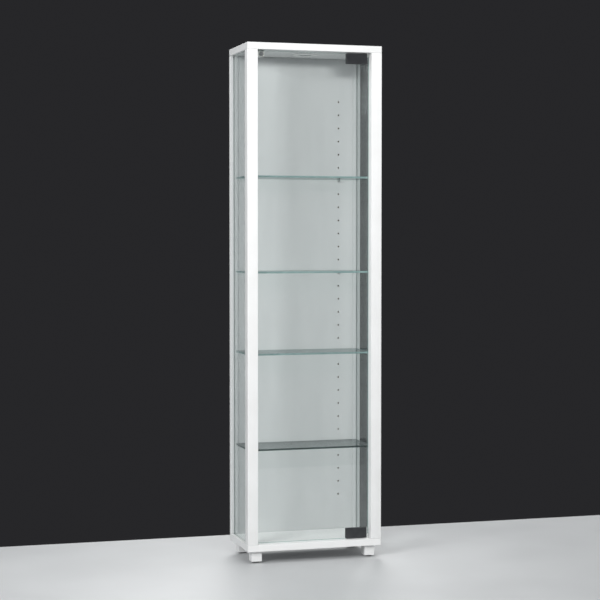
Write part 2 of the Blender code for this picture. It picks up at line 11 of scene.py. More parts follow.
import bmesh
import bpy
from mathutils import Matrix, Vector


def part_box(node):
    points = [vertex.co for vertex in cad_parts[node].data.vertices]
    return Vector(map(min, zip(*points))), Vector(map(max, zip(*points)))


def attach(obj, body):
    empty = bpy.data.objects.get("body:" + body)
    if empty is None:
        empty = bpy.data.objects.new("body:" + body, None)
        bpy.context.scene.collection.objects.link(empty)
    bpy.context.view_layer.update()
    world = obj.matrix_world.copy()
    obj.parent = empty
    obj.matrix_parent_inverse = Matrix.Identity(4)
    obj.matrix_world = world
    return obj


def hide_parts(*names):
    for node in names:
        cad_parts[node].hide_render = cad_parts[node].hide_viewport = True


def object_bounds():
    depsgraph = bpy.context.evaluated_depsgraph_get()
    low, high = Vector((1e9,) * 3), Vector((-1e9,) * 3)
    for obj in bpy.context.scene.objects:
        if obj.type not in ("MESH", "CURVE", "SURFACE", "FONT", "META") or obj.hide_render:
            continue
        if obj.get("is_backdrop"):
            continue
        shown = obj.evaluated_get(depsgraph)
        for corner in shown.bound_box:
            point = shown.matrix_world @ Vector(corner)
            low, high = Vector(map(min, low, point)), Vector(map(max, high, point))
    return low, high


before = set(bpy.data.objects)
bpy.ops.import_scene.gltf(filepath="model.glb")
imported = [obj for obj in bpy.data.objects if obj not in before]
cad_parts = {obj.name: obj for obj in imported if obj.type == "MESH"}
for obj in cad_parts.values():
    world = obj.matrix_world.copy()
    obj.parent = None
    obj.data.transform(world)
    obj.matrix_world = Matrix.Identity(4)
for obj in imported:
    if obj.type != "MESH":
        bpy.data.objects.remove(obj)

cad_low, cad_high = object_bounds()
print("cabinet box in millimetres:", [round(v * 1000, 1) for v in cad_high - cad_low])

# %% [markdown]
# ## The camera
# The cabinet is seen from a little left of its front, from about the height of a person's chest, and from
# far enough away that its upright lines stay upright. A long lens does that. A camera in Blender looks
# along its own -Z, so the direction is built first and turned into a rotation.

# %% Camera
HEADING = math.radians(16.64)
TILT = math.radians(-2.18)
CAMERA_PLACE = (-1.591, -5.267, 1.068)
LONG_LENS = 98.4
camera_data = bpy.data.cameras.new("view_from_the_left")
camera_data.sensor_width = 36.0
camera_data.lens = LONG_LENS
camera_data.clip_start = 0.1
camera_data.clip_end = 50.0
camera = bpy.data.objects.new("view_from_the_left", camera_data)
bpy.context.scene.collection.objects.link(camera)
level = math.cos(TILT)
looking = Vector((math.sin(HEADING) * level, math.cos(HEADING) * level, math.sin(TILT)))
camera.location = CAMERA_PLACE
camera.rotation_mode = "QUATERNION"
camera.rotation_quaternion = looking.to_track_quat("-Z", "Y")
bpy.context.scene.camera = camera
print("camera looks along", [round(v, 3) for v in looking])

# %% [markdown]
# ## Light
# Each light is a flat soft box. The main one stands in front, a little to the left and just above the
# top board, so that the board throws a narrow soft shadow on the top of the back panel and each hinge
# throws one on the glass. Its mirror image would stand on the door as a hard white patch when the door is
# seen square on, so glossy rays pass it by. A wide, weaker box on the left keeps the side faces bright,
# and two more light the right and the back, because the cabinet is looked at from all round. The lights
# don't show in the view themselves.

# %% Soft boxes
MIDDLE = Vector((0.0, 0.0, 0.85))


def soft_box(name, place, target, width, height, power, colour=(1.0, 1.0, 1.0)):
    """A rectangular area light that faces target and that the camera doesn't see."""
    data = bpy.data.lights.new(name, "AREA")
    data.shape = "RECTANGLE"
    data.size = width
    data.size_y = height
    data.energy = power
    data.color = colour
    light = bpy.data.objects.new(name, data)
    light.location = place
    light.rotation_mode = "QUATERNION"
    light.rotation_quaternion = (Vector(target) - Vector(place)).to_track_quat("-Z", "Y")
    light.visible_camera = False
    bpy.context.scene.collection.objects.link(light)
    return light


main_box = soft_box("main_box", (-0.40, -4.00, 2.13), (0.0, 0.0, 1.15), 1.40, 0.36, 77.0,
                    (1.0, 0.995, 0.985))
main_box.visible_glossy = False
soft_box("left_box", (-2.95, -2.30, 2.20), (0.0, 0.0, 1.20), 1.5, 1.0, 93.0, (0.99, 0.995, 1.0))
soft_box("right_box", (3.40, -0.60, 1.60), MIDDLE, 1.4, 2.0, 18.0)
soft_box("back_box", (0.80, 3.40, 2.40), MIDDLE, 1.8, 1.4, 52.0)
soft_box("top_box", (0.0, -0.60, 4.20), (0.0, -0.2, 0.0), 1.8, 1.8, 60.0)

# %% [markdown]
# The space around is plain. What the camera sees behind the cabinet is dark grey, which lets the glass
# edges read, but what lights and mirrors in the glass is a lighter grey. The Light Path node tells the two
# apart in the world's own shader.

# %% Surroundings
BACKDROP_GREY = (0.020, 0.020, 0.022, 1.0)
ROOM_GREY = (0.46, 0.48, 0.50, 1.0)
ROOM_STRENGTH = 0.40
world = bpy.data.worlds.new("plain_room")
world.use_nodes = True
bpy.context.scene.world = world
nodes = world.node_tree.nodes
nodes.clear()
links = world.node_tree.links
seen = nodes.new("ShaderNodeBackground")
seen.inputs["Color"].default_value = BACKDROP_GREY
around = nodes.new("ShaderNodeBackground")
around.inputs["Color"].default_value = ROOM_GREY
around.inputs["Strength"].default_value = ROOM_STRENGTH
path = nodes.new("ShaderNodeLightPath")
choose = nodes.new("ShaderNodeMixShader")
out = nodes.new("ShaderNodeOutputWorld")
links.new(path.outputs["Is Camera Ray"], choose.inputs["Fac"])
links.new(around.outputs["Background"], choose.inputs[1])
links.new(seen.outputs["Background"], choose.inputs[2])
links.new(choose.outputs["Shader"], out.inputs["Surface"])
bpy.context.scene.view_settings.view_transform = "Standard"
bpy.context.scene.cycles.transparent_max_bounces = 32
bpy.context.scene.cycles.max_bounces = 10
print("world ready:", world.name)

# %% [markdown]
# ## Finishes
# Every finish is made of nodes that read Object coordinates, so a pattern stays on its piece when the door
# swings. A few small helpers keep the recipes short: they start a material, add a node and fill in its
# sockets, make a soft random pattern, and turn a pattern into a number, a colour or fine relief.

# %% Helpers for finishes
def start_finish(name):
    """A new material with an empty tree: returns material, tree and its output node."""
    material = bpy.data.materials.new(name)
    material.use_nodes = True
    tree = material.node_tree
    tree.nodes.clear()
    output = tree.nodes.new("ShaderNodeOutputMaterial")
    return material, tree, output


def feed(tree, socket, value):
    """Fills in a socket. A node's first output or another socket is linked, and a plain value is set."""
    if isinstance(value, bpy.types.Node):
        value = value.outputs[0]
    if isinstance(value, bpy.types.NodeSocket):
        tree.links.new(value, socket)
    else:
        socket.default_value = value


def add_node(tree, kind, settings=None, **sockets):
    """A node with its settings and its sockets filled in."""
    made = tree.nodes.new(kind)
    for key, value in (settings or {}).items():
        setattr(made, key, value)
    for key, value in sockets.items():
        feed(tree, made.inputs[key.replace("_", " ")], value)
    return made


def compute(tree, operation, *values):
    """A Math node with its sockets filled in from the first on."""
    made = add_node(tree, "ShaderNodeMath", {"operation": operation})
    for socket, value in zip(made.inputs, values):
        feed(tree, socket, value)
    return made


def mix_shaders(tree, share, first, second):
    """Share 0 shows the first shader, share 1 the second."""
    both = add_node(tree, "ShaderNodeMixShader", Fac=share)
    feed(tree, both.inputs[1], first)
    feed(tree, both.inputs[2], second)
    return both


def mix_colours(tree, share, first, second):
    """Share 0 shows the first colour, share 1 the second."""
    both = add_node(tree, "ShaderNodeMix", {"data_type": "RGBA"})
    for place, value in ((0, share), (6, first), (7, second)):
        feed(tree, both.inputs[place], value)
    return both.outputs[2]


def end_surface(tree, output, **sockets):
    """Ends a finish with a Principled shader."""
    feed(tree, output.inputs["Surface"], add_node(tree, "ShaderNodeBsdfPrincipled", **sockets))


def own_coordinates(tree, stretch=(1.0, 1.0, 1.0)):
    """Object coordinates in metres, stretched where a pattern has a grain."""
    coordinates = tree.nodes.new("ShaderNodeTexCoord")
    mapping = add_node(tree, "ShaderNodeMapping", Scale=stretch)
    tree.links.new(coordinates.outputs["Object"], mapping.inputs["Vector"])
    return mapping.outputs["Vector"]


def grain(tree, where, scale, detail=3.0, roughness=0.5):
    """A soft random pattern: scale is how many features there are in a metre."""
    pattern = add_node(tree, "ShaderNodeTexNoise", Vector=where, Scale=scale, Detail=detail,
                       Roughness=roughness)
    return pattern.outputs["Fac"]


def between(tree, pattern, low, high, start=0.3, end=0.7):
    """A number that goes from low to high as the pattern goes from start to end."""
    ranged = add_node(tree, "ShaderNodeMapRange", Value=pattern)
    for socket, value in zip(("From Min", "From Max", "To Min", "To Max"), (start, end, low, high)):
        ranged.inputs[socket].default_value = value
    return ranged.outputs["Result"]


def two_tone(tree, pattern, dark, light, start=0.3, end=0.7):
    """A colour that goes from dark to light as the pattern goes from start to end."""
    ramp = tree.nodes.new("ShaderNodeValToRGB")
    ramp.color_ramp.elements[0].position = start
    ramp.color_ramp.elements[0].color = (*dark, 1.0)
    ramp.color_ramp.elements[1].position = end
    ramp.color_ramp.elements[1].color = (*light, 1.0)
    tree.links.new(pattern, ramp.inputs["Fac"])
    return ramp.outputs["Color"]


def relief(tree, pattern, strength, depth, below=None):
    """A bump from a pattern. depth is in metres, and below is an earlier bump that it adds to."""
    bump = add_node(tree, "ShaderNodeBump", Height=pattern, Strength=strength, Distance=depth)
    if below is not None:
        tree.links.new(below, bump.inputs["Normal"])
    return bump.outputs["Normal"]


print("helpers for finishes are ready")

# %% [markdown]
# The boards and posts are chipboard wrapped in white satin foil. Foil isn't a flat white: it has a fine
# pebble from the press roller, faint broad clouds in its gloss where the glue under it is thicker, and
# a tiny yellowing here and there. On the two wide boards the narrow edges are banded separately, and the
# joint shows as a hairline one millimetre in from the edge.

# %% White foil
BOARD_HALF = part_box("top_board")[1]
BAND_JOINT = 0.0016
HAIRLINE = 0.00016
JOINT_COLOUR = (0.60, 0.59, 0.56, 1.0)
OUTER_SKIN = 0.0008


def white_foil(name, banded):
    """Foil for boards and posts. banded adds the hairline of the edge bands on the wide boards."""
    material, tree, output = start_finish(name)
    where = own_coordinates(tree)
    clouds = grain(tree, where, 9.0, 4.0, 0.55)
    pebble = grain(tree, where, 1400.0, 2.0, 0.6)
    press = grain(tree, where, 210.0, 3.0, 0.5)
    colour = two_tone(tree, clouds, (0.790, 0.792, 0.785), (0.835, 0.838, 0.836))
    if banded:
        split = add_node(tree, "ShaderNodeSeparateXYZ", Vector=where)
        lines = []
        for axis, half in zip("XY", BOARD_HALF):
            distance = compute(tree, "ABSOLUTE", split.outputs[axis])
            lines.append(compute(tree, "COMPARE", distance, half - BAND_JOINT, HAIRLINE))
        colour = mix_colours(tree, compute(tree, "MAXIMUM", *lines), colour, JOINT_COLOUR)
    fine = relief(tree, pebble, 0.25, 0.00006)
    end_surface(tree, output, Base_Color=colour, Roughness=between(tree, clouds, 0.30, 0.40),
                Normal=relief(tree, press, 0.18, 0.00015, below=fine), Specular_IOR_Level=0.45)
    return material


def pale_panel_colour(tree):
    """The pale grey of the back panel: soft upright clouds."""
    upright = own_coordinates(tree, (6.0, 6.0, 1.0))
    clouds = grain(tree, upright, 3.0, 3.0, 0.5)
    return two_tone(tree, clouds, (0.565, 0.578, 0.582), (0.605, 0.617, 0.620))


def stile_foil_with_painted_shade():
    """White foil outside, and the panel's grey on the faces that look into the cabinet as painted shade: the
    shadow of the front posts.
    """
    material = white_foil("stile_foil_white_outside_painted_shade_inside", banded=False)
    tree = material.node_tree
    surface = next(n for n in tree.nodes if n.type == "BSDF_PRINCIPLED")
    split = add_node(tree, "ShaderNodeSeparateXYZ", Vector=own_coordinates(tree))
    distance = compute(tree, "ABSOLUTE", split.outputs["X"])
    outside = compute(tree, "GREATER_THAN", distance, BOARD_HALF.x - OUTER_SKIN)
    behind = compute(tree, "GREATER_THAN", split.outputs["Y"], BOARD_HALF.y - OUTER_SKIN)
    white = surface.inputs["Base Color"].links[0].from_socket
    # painted shade: every face that isn't on the outside or the back gets the back panel's grey instead of
    # white
    shown = mix_colours(tree, compute(tree, "MAXIMUM", outside, behind), pale_panel_colour(tree), white)
    feed(tree, surface.inputs["Base Color"], shown)
    return material


plain_foil = white_foil("white_satin_foil", banded=False)
stile_finish_painted_shade = stile_foil_with_painted_shade()
banded_foil = white_foil("white_foil_with_banded_edges", banded=True)
print("foils:", plain_foil.name, banded_foil.name)

# %% [markdown]
# The back panel is thinner board with a pale grey paper face, less glossy than the foil. Its print has
# soft vertical clouds. Where a drill goes through a face, the raw board shows: pressed brown chips, rough
# and dull.

# %% Back panel and raw board
def pale_panel():
    material, tree, output = start_finish("pale_grey_panel")
    tooth = grain(tree, own_coordinates(tree), 900.0, 3.0, 0.6)
    end_surface(tree, output, Base_Color=pale_panel_colour(tree), Roughness=between(tree, tooth, 0.42, 0.56),
                Normal=relief(tree, tooth, 0.2, 0.00006), Specular_IOR_Level=0.35)
    return material


def raw_board():
    material, tree, output = start_finish("raw_chipboard")
    chips = add_node(tree, "ShaderNodeTexVoronoi", Vector=own_coordinates(tree), Scale=1100.0)
    shade = chips.outputs["Distance"]
    colour = two_tone(tree, shade, (0.10, 0.075, 0.05), (0.26, 0.20, 0.135), 0.1, 0.8)
    end_surface(tree, output, Base_Color=colour, Roughness=0.9, Normal=relief(tree, shade, 0.5, 0.0003))
    return material


panel_finish = pale_panel()
chipboard = raw_board()
print("board finishes:", panel_finish.name, chipboard.name)

# %% [markdown]
# Sheet glass is two things. Its big faces let nearly all light straight through, with a faint green cast
# and a mirror that grows at a glancing angle. The ground edges look into the whole width of the sheet, so
# they are a strong sea green. A full glass shader would bend every ray and cost a lot of noise, and a sheet
# this thin hardly bends anything, so a face here is a mix of a Transparent and a Glossy shader. The share
# of the mirror is 4% square on and grows with the fifth power of the slope, as in Schlick's rule, but only
# up to a limit, so that a pane seen nearly edge on stays clear enough to look through. The Fresnel node
# isn't used, because it takes a pane's far face for the inside of a solid block and closes it.

# %% Glass
FACE_TINT = (0.966, 0.975, 0.973)
SHADOW_TINT = (0.965, 0.975, 0.972, 1.0)
EDGE_SHADOW_TINT = (0.86, 0.90, 0.89, 1.0)
SQUARE_ON = 0.042
SLOPE_POWER = 5.0
CLEAR_SHARE = 0.25


def lets_light(tree, shader, tint, output):
    """Lamps shine through: for a shadow ray the shader is swapped for a clear one."""
    clear = add_node(tree, "ShaderNodeBsdfTransparent", Color=tint)
    path = tree.nodes.new("ShaderNodeLightPath")
    final = mix_shaders(tree, path.outputs["Is Shadow Ray"], shader, clear)
    feed(tree, output.inputs["Surface"], final)


def glass_face(name, tint, deep_tint, mirror_tint, glancing):
    """tint is one face seen square on, and deep_tint is one face seen at a glancing angle."""
    material, tree, output = start_finish(name)
    where = own_coordinates(tree)
    slope = add_node(tree, "ShaderNodeLayerWeight", Blend=0.5)
    colour = two_tone(tree, slope.outputs["Facing"], tint, deep_tint, 0.70, 0.97)
    through = add_node(tree, "ShaderNodeBsdfTransparent", Color=colour)
    float_wave = grain(tree, where, 7.0, 1.0, 0.4)
    haze = between(tree, grain(tree, where, 60.0, 3.0, 0.6), 0.010, 0.035)
    mirror = add_node(tree, "ShaderNodeBsdfGlossy", Color=(*mirror_tint, 1.0), Roughness=haze,
                      Normal=relief(tree, float_wave, 0.05, 0.0004))
    grow = compute(tree, "POWER", slope.outputs["Facing"], SLOPE_POWER)
    share = between(tree, grow, SQUARE_ON, glancing, 0.0, 1.0)
    lets_light(tree, mix_shaders(tree, share, through, mirror), SHADOW_TINT, output)
    return material


def glass_edge(name, dark, light):
    """The ground and polished edge of a sheet."""
    material, tree, output = start_finish(name)
    where = own_coordinates(tree)
    ripple = grain(tree, where, 45.0, 3.0, 0.6)
    colour = two_tone(tree, ripple, dark, light)
    surface = add_node(tree, "ShaderNodeBsdfPrincipled", Base_Color=colour, Coat_Weight=0.3,
                       Roughness=between(tree, ripple, 0.10, 0.22),
                       Normal=relief(tree, grain(tree, where, 700.0, 2.0), 0.15, 0.00005))
    through = add_node(tree, "ShaderNodeBsdfTransparent", Color=(0.62, 0.80, 0.77, 1.0))
    lets_light(tree, mix_shaders(tree, CLEAR_SHARE, surface, through), EDGE_SHADOW_TINT, output)
    return material


pane_face = glass_face("clear_pane", FACE_TINT, (0.86, 0.89, 0.885), (0.84, 0.86, 0.86), 0.60)
shelf_face = glass_face("clear_shelf", FACE_TINT, (0.40, 0.435, 0.435), (0.71, 0.725, 0.725), 0.95)
pane_edge = glass_edge("pane_edge_green", (0.10, 0.20, 0.185), (0.20, 0.34, 0.32))
shelf_edge = glass_edge("shelf_edge_green", (0.23, 0.34, 0.34), (0.33, 0.45, 0.44))
bedded_edge = glass_edge("bedded_edge_pale", (0.46, 0.50, 0.495), (0.56, 0.59, 0.585))
# painted shade: the lowest shelf's edge is made nearly black, darker than the other shelves' green edges
lowest_edge_painted_shade = glass_edge("lowest_shelf_edge_painted_shade", (0.010, 0.018, 0.018), (0.024, 0.036, 0.035))
print("glass:", pane_face.name, shelf_face.name, pane_edge.name, shelf_edge.name)

# %% [markdown]
# The small metal parts come in two finishes. The clamp plates are cast zinc with a dark grey satin
# coat: dull, with a fine sandy grain and paler patches here and there. Pins, screws and the latch's
# disc are bright turned steel with a fine tooth and faint stains. The lamp's ring is satin nickel, which is
# the same recipe, paler and duller.

# %% Metals
def dark_metal():
    material, tree, output = start_finish("dark_satin_metal")
    where = own_coordinates(tree)
    sand = grain(tree, where, 2600.0, 2.0, 0.6)
    rub = grain(tree, where, 60.0, 4.0, 0.6)
    colour = two_tone(tree, rub, (0.032, 0.034, 0.037), (0.054, 0.056, 0.060))
    end_surface(tree, output, Base_Color=colour, Metallic=0.35, Roughness=between(tree, rub, 0.34, 0.48),
                Normal=relief(tree, sand, 0.25, 0.00005))
    return material


def bright_metal(name, dark, light, smooth, rough):
    material, tree, output = start_finish(name)
    where = own_coordinates(tree)
    fine = grain(tree, where, 1800.0, 2.0, 0.5)
    colour = two_tone(tree, grain(tree, where, 150.0, 3.0, 0.6), dark, light)
    end_surface(tree, output, Base_Color=colour, Metallic=1.0, Roughness=between(tree, fine, smooth, rough),
                Normal=relief(tree, fine, 0.12, 0.00003))
    return material


clamp_metal = dark_metal()
steel = bright_metal("bright_turned_steel", (0.56, 0.56, 0.55), (0.72, 0.72, 0.71), 0.16, 0.32)
satin_nickel = bright_metal("satin_nickel", (0.80, 0.80, 0.79), (0.90, 0.90, 0.89), 0.38, 0.50)
print("metals:", clamp_metal.name, steel.name, satin_nickel.name)

# %% [markdown]
# Three plastics: white nylon that is slightly see-through and waxy, black moulded plastic with a
# spark-eroded texture, and the lamp's frosted cover. The lamp is off, so its cover is only a pale
# milky white. The lamp's circuit board is green with lighter pads.

# %% Plastics and the lamp's finishes
UNDER_THE_SKIN = (0.003, 0.003, 0.0025)


def moulded(name, dark, light, scale, rough_low, rough_high, depth, glow_under=0.0):
    material, tree, output = start_finish(name)
    where = own_coordinates(tree)
    skin = grain(tree, where, scale, 3.0, 0.6)
    cloud = grain(tree, where, scale / 14.0, 3.0, 0.5)
    end_surface(tree, output, Base_Color=two_tone(tree, cloud, dark, light),
                Roughness=between(tree, skin, rough_low, rough_high), Normal=relief(tree, skin, 0.3, depth),
                Subsurface_Weight=glow_under, Subsurface_Radius=UNDER_THE_SKIN)
    return material


def circuit_green():
    material, tree, output = start_finish("circuit_board_green")
    where = own_coordinates(tree)
    tracks = add_node(tree, "ShaderNodeTexBrick", Vector=where, Scale=260.0, Mortar_Size=0.06,
                      Color1=(0.02, 0.13, 0.06, 1.0), Color2=(0.03, 0.16, 0.07, 1.0),
                      Mortar=(0.10, 0.30, 0.14, 1.0))
    gaps = tracks.outputs["Fac"]
    end_surface(tree, output, Base_Color=tracks.outputs["Color"], Roughness=between(tree, gaps, 0.30, 0.45),
                Normal=relief(tree, gaps, 0.3, 0.00004))
    return material


nylon = moulded("white_nylon", (0.72, 0.72, 0.69), (0.80, 0.80, 0.78), 800.0, 0.38, 0.50, 0.00004, 0.15)
black_plastic = moulded("black_moulded_plastic", (0.016, 0.016, 0.017), (0.028, 0.028, 0.030), 1600.0,
                        0.42, 0.58, 0.00006)
frosted = moulded("frosted_cover", (0.66, 0.68, 0.67), (0.76, 0.78, 0.77), 1200.0, 0.30, 0.42, 0.00005, 0.3)
circuit = circuit_green()
glue_pad = moulded("grey_glue_pad", (0.20, 0.205, 0.21), (0.27, 0.275, 0.28), 900.0, 0.55, 0.70, 0.00008)
print("plastics:", nylon.name, black_plastic.name, frosted.name, circuit.name, glue_pad.name)

# %% [markdown]
# ## The floor
# A plain pale floor: one thin slab, polished a little, so that the feet stand on a soft reflection. It
# belongs to the stage and not to the cabinet. The low main box would shine in under the bottom board and
# wash out the dark gap there, so light linking keeps that one lamp off the floor, which the top box lights.

# %% Floor
FLOOR_LOW = (-2.2, -2.2, -0.02)
FLOOR_HIGH = (2.2, 0.42, 0.0)


def box_between(low, high):
    """A new bmesh with a box from corner to corner."""
    bm = bmesh.new()
    for vertex in bmesh.ops.create_cube(bm, size=1.0)["verts"]:
        for axis in range(3):
            share = vertex.co[axis] + 0.5
            vertex.co[axis] = low[axis] + (high[axis] - low[axis]) * share
    return bm


def mesh_from(bm, name):
    """Turns a bmesh into a mesh and frees it."""
    mesh = bpy.data.meshes.new(name)
    bm.to_mesh(mesh)
    bm.free()
    return mesh


def put_in_scene(name, mesh):
    """An object with this mesh, linked into the scene."""
    made = bpy.data.objects.new(name, mesh)
    bpy.context.scene.collection.objects.link(made)
    return made


def pale_floor():
    material, tree, output = start_finish("pale_floor")
    clouds = grain(tree, own_coordinates(tree), 2.5, 4.0, 0.5)
    colour = two_tone(tree, clouds, (0.60, 0.61, 0.615), (0.65, 0.66, 0.665))
    end_surface(tree, output, Base_Color=colour, Roughness=between(tree, clouds, 0.38, 0.46))
    return material


floor_mesh = mesh_from(box_between(FLOOR_LOW, FLOOR_HIGH), "floor")
floor_mesh.materials.append(pale_floor())
floor = put_in_scene("floor", floor_mesh)
floor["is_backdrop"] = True

sparing = bpy.data.collections.new("not_lit_by_the_main_box")
sparing.objects.link(floor)
main_box.light_linking.receiver_collection = sparing
sparing.collection_objects[0].light_linking.link_state = "EXCLUDE"
print("floor is", FLOOR_HIGH[0] - FLOOR_LOW[0], "m wide")

# %% [markdown]
# ## Parts that keep their shape
# The boards, posts, stiles and legs already have their rounded edges and grooves, so they only get a
# finish. A material goes into the object's own slots, and the mesh stays as it is.

# %% Finish the parts that stay
def coat(material, *names):
    """Puts one finish on CAD nodes without touching their meshes."""
    for name in names:
        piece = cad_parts[name]
        if not piece.material_slots:
            piece.data.materials.append(material)
        for holder in piece.material_slots:
            holder.material = material


coat(banded_foil, "top_board", "bottom_board")
for side in ("left", "right"):
    coat(plain_foil, f"leg_front_{side}", f"leg_rear_{side}")
    coat(stile_finish_painted_shade, f"rear_stile_{side}")
    for end in ("front", "rear"):
        coat(steel, f"leg_bolt_{end}_{side}")
for end in ("top", "bottom"):
    coat(steel, f"pivot_pin_{end}")
coat(black_plastic, "lamp_housing")
print("finished in place:", sum(1 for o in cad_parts.values() if o.material_slots))

# %% [markdown]
# ## Helpers for new pieces
# Most of the fittings are plates with rounded corners or turned parts. A plate starts as a box whose four
# long edges are rounded to the corner radius and whose rim is then rounded again. A turned part is a
# profile of radius and height, carried round an axis: each ring is a circle, or a hexagon where a key
# goes in.

# %% Helpers for shapes
SMOOTH_UNDER = math.radians(34.0)


def make_piece(name, bm, body, materials, replaced=()):
    """Turns bm into a piece that rides on a body and stands for some CAD nodes."""
    bm.normal_update()
    return dress_piece(name, mesh_from(bm, name), body, materials, replaced)


def dress_piece(name, mesh, body, materials, replaced=()):
    """Gives a mesh its finishes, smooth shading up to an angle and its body."""
    for material in materials:
        if material.name not in [m.name for m in mesh.materials if m]:
            mesh.materials.append(material)
    mesh.polygons.foreach_set("use_smooth", [True] * len(mesh.polygons))
    mesh.set_sharp_from_angle(angle=SMOOTH_UNDER)
    piece = put_in_scene(name, mesh)
    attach(piece, body)
    if replaced:
        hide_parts(*replaced)
    print(f"{name}: {len(mesh.polygons)} faces on {body}")
    return piece


def middle_of(name):
    """The middle of a CAD node's box."""
    low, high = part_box(name)
    return (low + high) / 2


def rounded_plate(low, high, thin_axis, corner=0.0, rim=0.0, corner_steps=6, rim_steps=3):
    """A plate between two corners. thin_axis is the one that its big faces look along."""
    bm = box_between(low, high)
    rim_edges = list(bm.edges)
    if corner > 0.0:
        across = [e for e in bm.edges if abs((e.verts[0].co - e.verts[1].co)[thin_axis]) > 1e-9]
        bmesh.ops.bevel(bm, geom=across, offset=corner, segments=corner_steps, profile=0.5, affect="EDGES")
        rim_edges = [e for e in bm.edges if abs((e.verts[0].co - e.verts[1].co)[thin_axis]) < 1e-9
                     and any(abs(f.normal[thin_axis]) < 0.5 for f in e.link_faces)]
    if rim > 0.0:
        bmesh.ops.bevel(bm, geom=rim_edges, offset=rim, segments=rim_steps, profile=0.5, affect="EDGES")
    return bm


def ring_point(radius, angle, outline):
    """A point of a ring: a circle, or a hexagon whose flats are radius from the middle."""
    if outline == "hexagon":
        sixth = math.pi / 3.0
        radius = radius / math.cos((angle % sixth) - sixth / 2.0)
    return radius * math.cos(angle), radius * math.sin(angle)


def turned(profile, base, axis, sides=48, closed=False):
    """Carries a profile of (radius, height) or (radius, height, "hexagon") round an axis from base.
    An open profile starts and ends on the axis, and a closed one is a ring."""
    bm = bmesh.new()
    along = Vector(axis).normalized()
    across = along.orthogonal().normalized()
    other = along.cross(across)
    rings = []
    for row in profile:
        outline = row[2] if len(row) > 2 else "circle"
        centre = Vector(base) + along * row[1]
        if row[0] <= 0.0:
            rings.append([bm.verts.new(centre)])
            continue
        ring = []
        for step in range(sides):
            u, v = ring_point(row[0], 2.0 * math.pi * step / sides, outline)
            ring.append(bm.verts.new(centre + across * u + other * v))
        rings.append(ring)
    if closed:
        rings.append(rings[0])
    faces = []
    for lower, upper in zip(rings, rings[1:]):
        for step in range(sides):
            after = (step + 1) % sides
            if len(lower) == 1:
                corners = (lower[0], upper[after], upper[step])
            elif len(upper) == 1:
                corners = (lower[step], lower[after], upper[0])
            else:
                corners = (lower[step], lower[after], upper[after], upper[step])
            faces.append(bm.faces.new(corners))
    bmesh.ops.recalc_face_normals(bm, faces=faces)
    return bm


def softened(profile, radius, steps=3):
    """The same profile with each inner corner cut by a small arc, as a turned or moulded part has."""
    result = [profile[0]]
    for before, here, after in zip(profile, profile[1:], profile[2:]):
        point = Vector(here[:2])
        back = Vector(before[:2]) - point
        ahead = Vector(after[:2]) - point
        reach = min(radius, back.length * 0.45, ahead.length * 0.45)
        if reach < 1e-6 or abs(back.normalized().dot(ahead.normalized())) > 0.985 or here[0] <= 0.0:
            result.append(here)
            continue
        start = point + back.normalized() * reach
        end = point + ahead.normalized() * reach
        for step in range(steps + 1):
            t = step / steps
            spot = start * (1 - t) ** 2 + point * 2 * t * (1 - t) + end * t ** 2
            result.append((spot.x, spot.y, *here[2:]))
    result.append(profile[-1])
    return result


print("helpers for shapes are ready")

# %% [markdown]
# ## Sheet glass
# Every pane is cut, its edges are ground flat and polished, and the sharp corners are taken off with a
# small chamfer, the arris. That chamfer is what catches light, so it is real geometry here. The faces of a
# pane that look along its thin axis get the clear finish, and all the others get the edge's own: green for a
# shelf, nearly black as painted shade for the lowest shelf, and pale for a side pane, whose edges are
# bedded in grooves.

# %% Side panes and shelves
SHEET_ARRIS = 0.0005
SHEET_CORNER = 0.0015


def paint_sheet(bm, thin_axis):
    """Material 0 on the big faces and material 1 round the edge."""
    bm.normal_update()
    for face in bm.faces:
        face.material_index = 0 if abs(face.normal[thin_axis]) > 0.99 else 1


def glass_sheet(name, node, thin_axis, corner, finishes):
    low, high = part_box(node)
    bm = rounded_plate(low, high, thin_axis, corner, SHEET_ARRIS, 4, 1)
    paint_sheet(bm, thin_axis)
    return make_piece(name, bm, "root", finishes, [node])


for side in ("left", "right"):
    glass_sheet(f"side_pane_{side}", f"side_glass_{side}", 0, 0.0, (pane_face, bedded_edge))
for number in range(1, 5):
    edge_finish = lowest_edge_painted_shade if number == 1 else shelf_edge
    glass_sheet(f"shelf_{number}", f"glass_shelf_{number}", 2, SHEET_CORNER, (shelf_face, edge_finish))

# %% [markdown]
# The door is one sheet of safety glass without a frame. The hinges need a notch at each right-hand corner
# and a drilled hole near it, so its outline isn't a box. The outline and the two holes are drawn as closed
# loops of edges, filled flat, and then pushed out to the thickness of the sheet.

# %% Door pane
NOTCH_WIDTH = 0.020
NOTCH_HEIGHT = 0.013
NOTCH_RELIEF = 0.0025
CLAMP_HOLE_RADIUS = 0.004
HOLE_SIDES = 32
DOOR_ARRIS = 0.0004


def arc_points(centre, radius, start, end, steps):
    """Points of an arc in the X and Z plane, from start to end in degrees."""
    points = []
    for step in range(steps + 1):
        angle = math.radians(start + (end - start) * step / steps)
        points.append((centre[0] + radius * math.cos(angle), centre[1] + radius * math.sin(angle)))
    return points


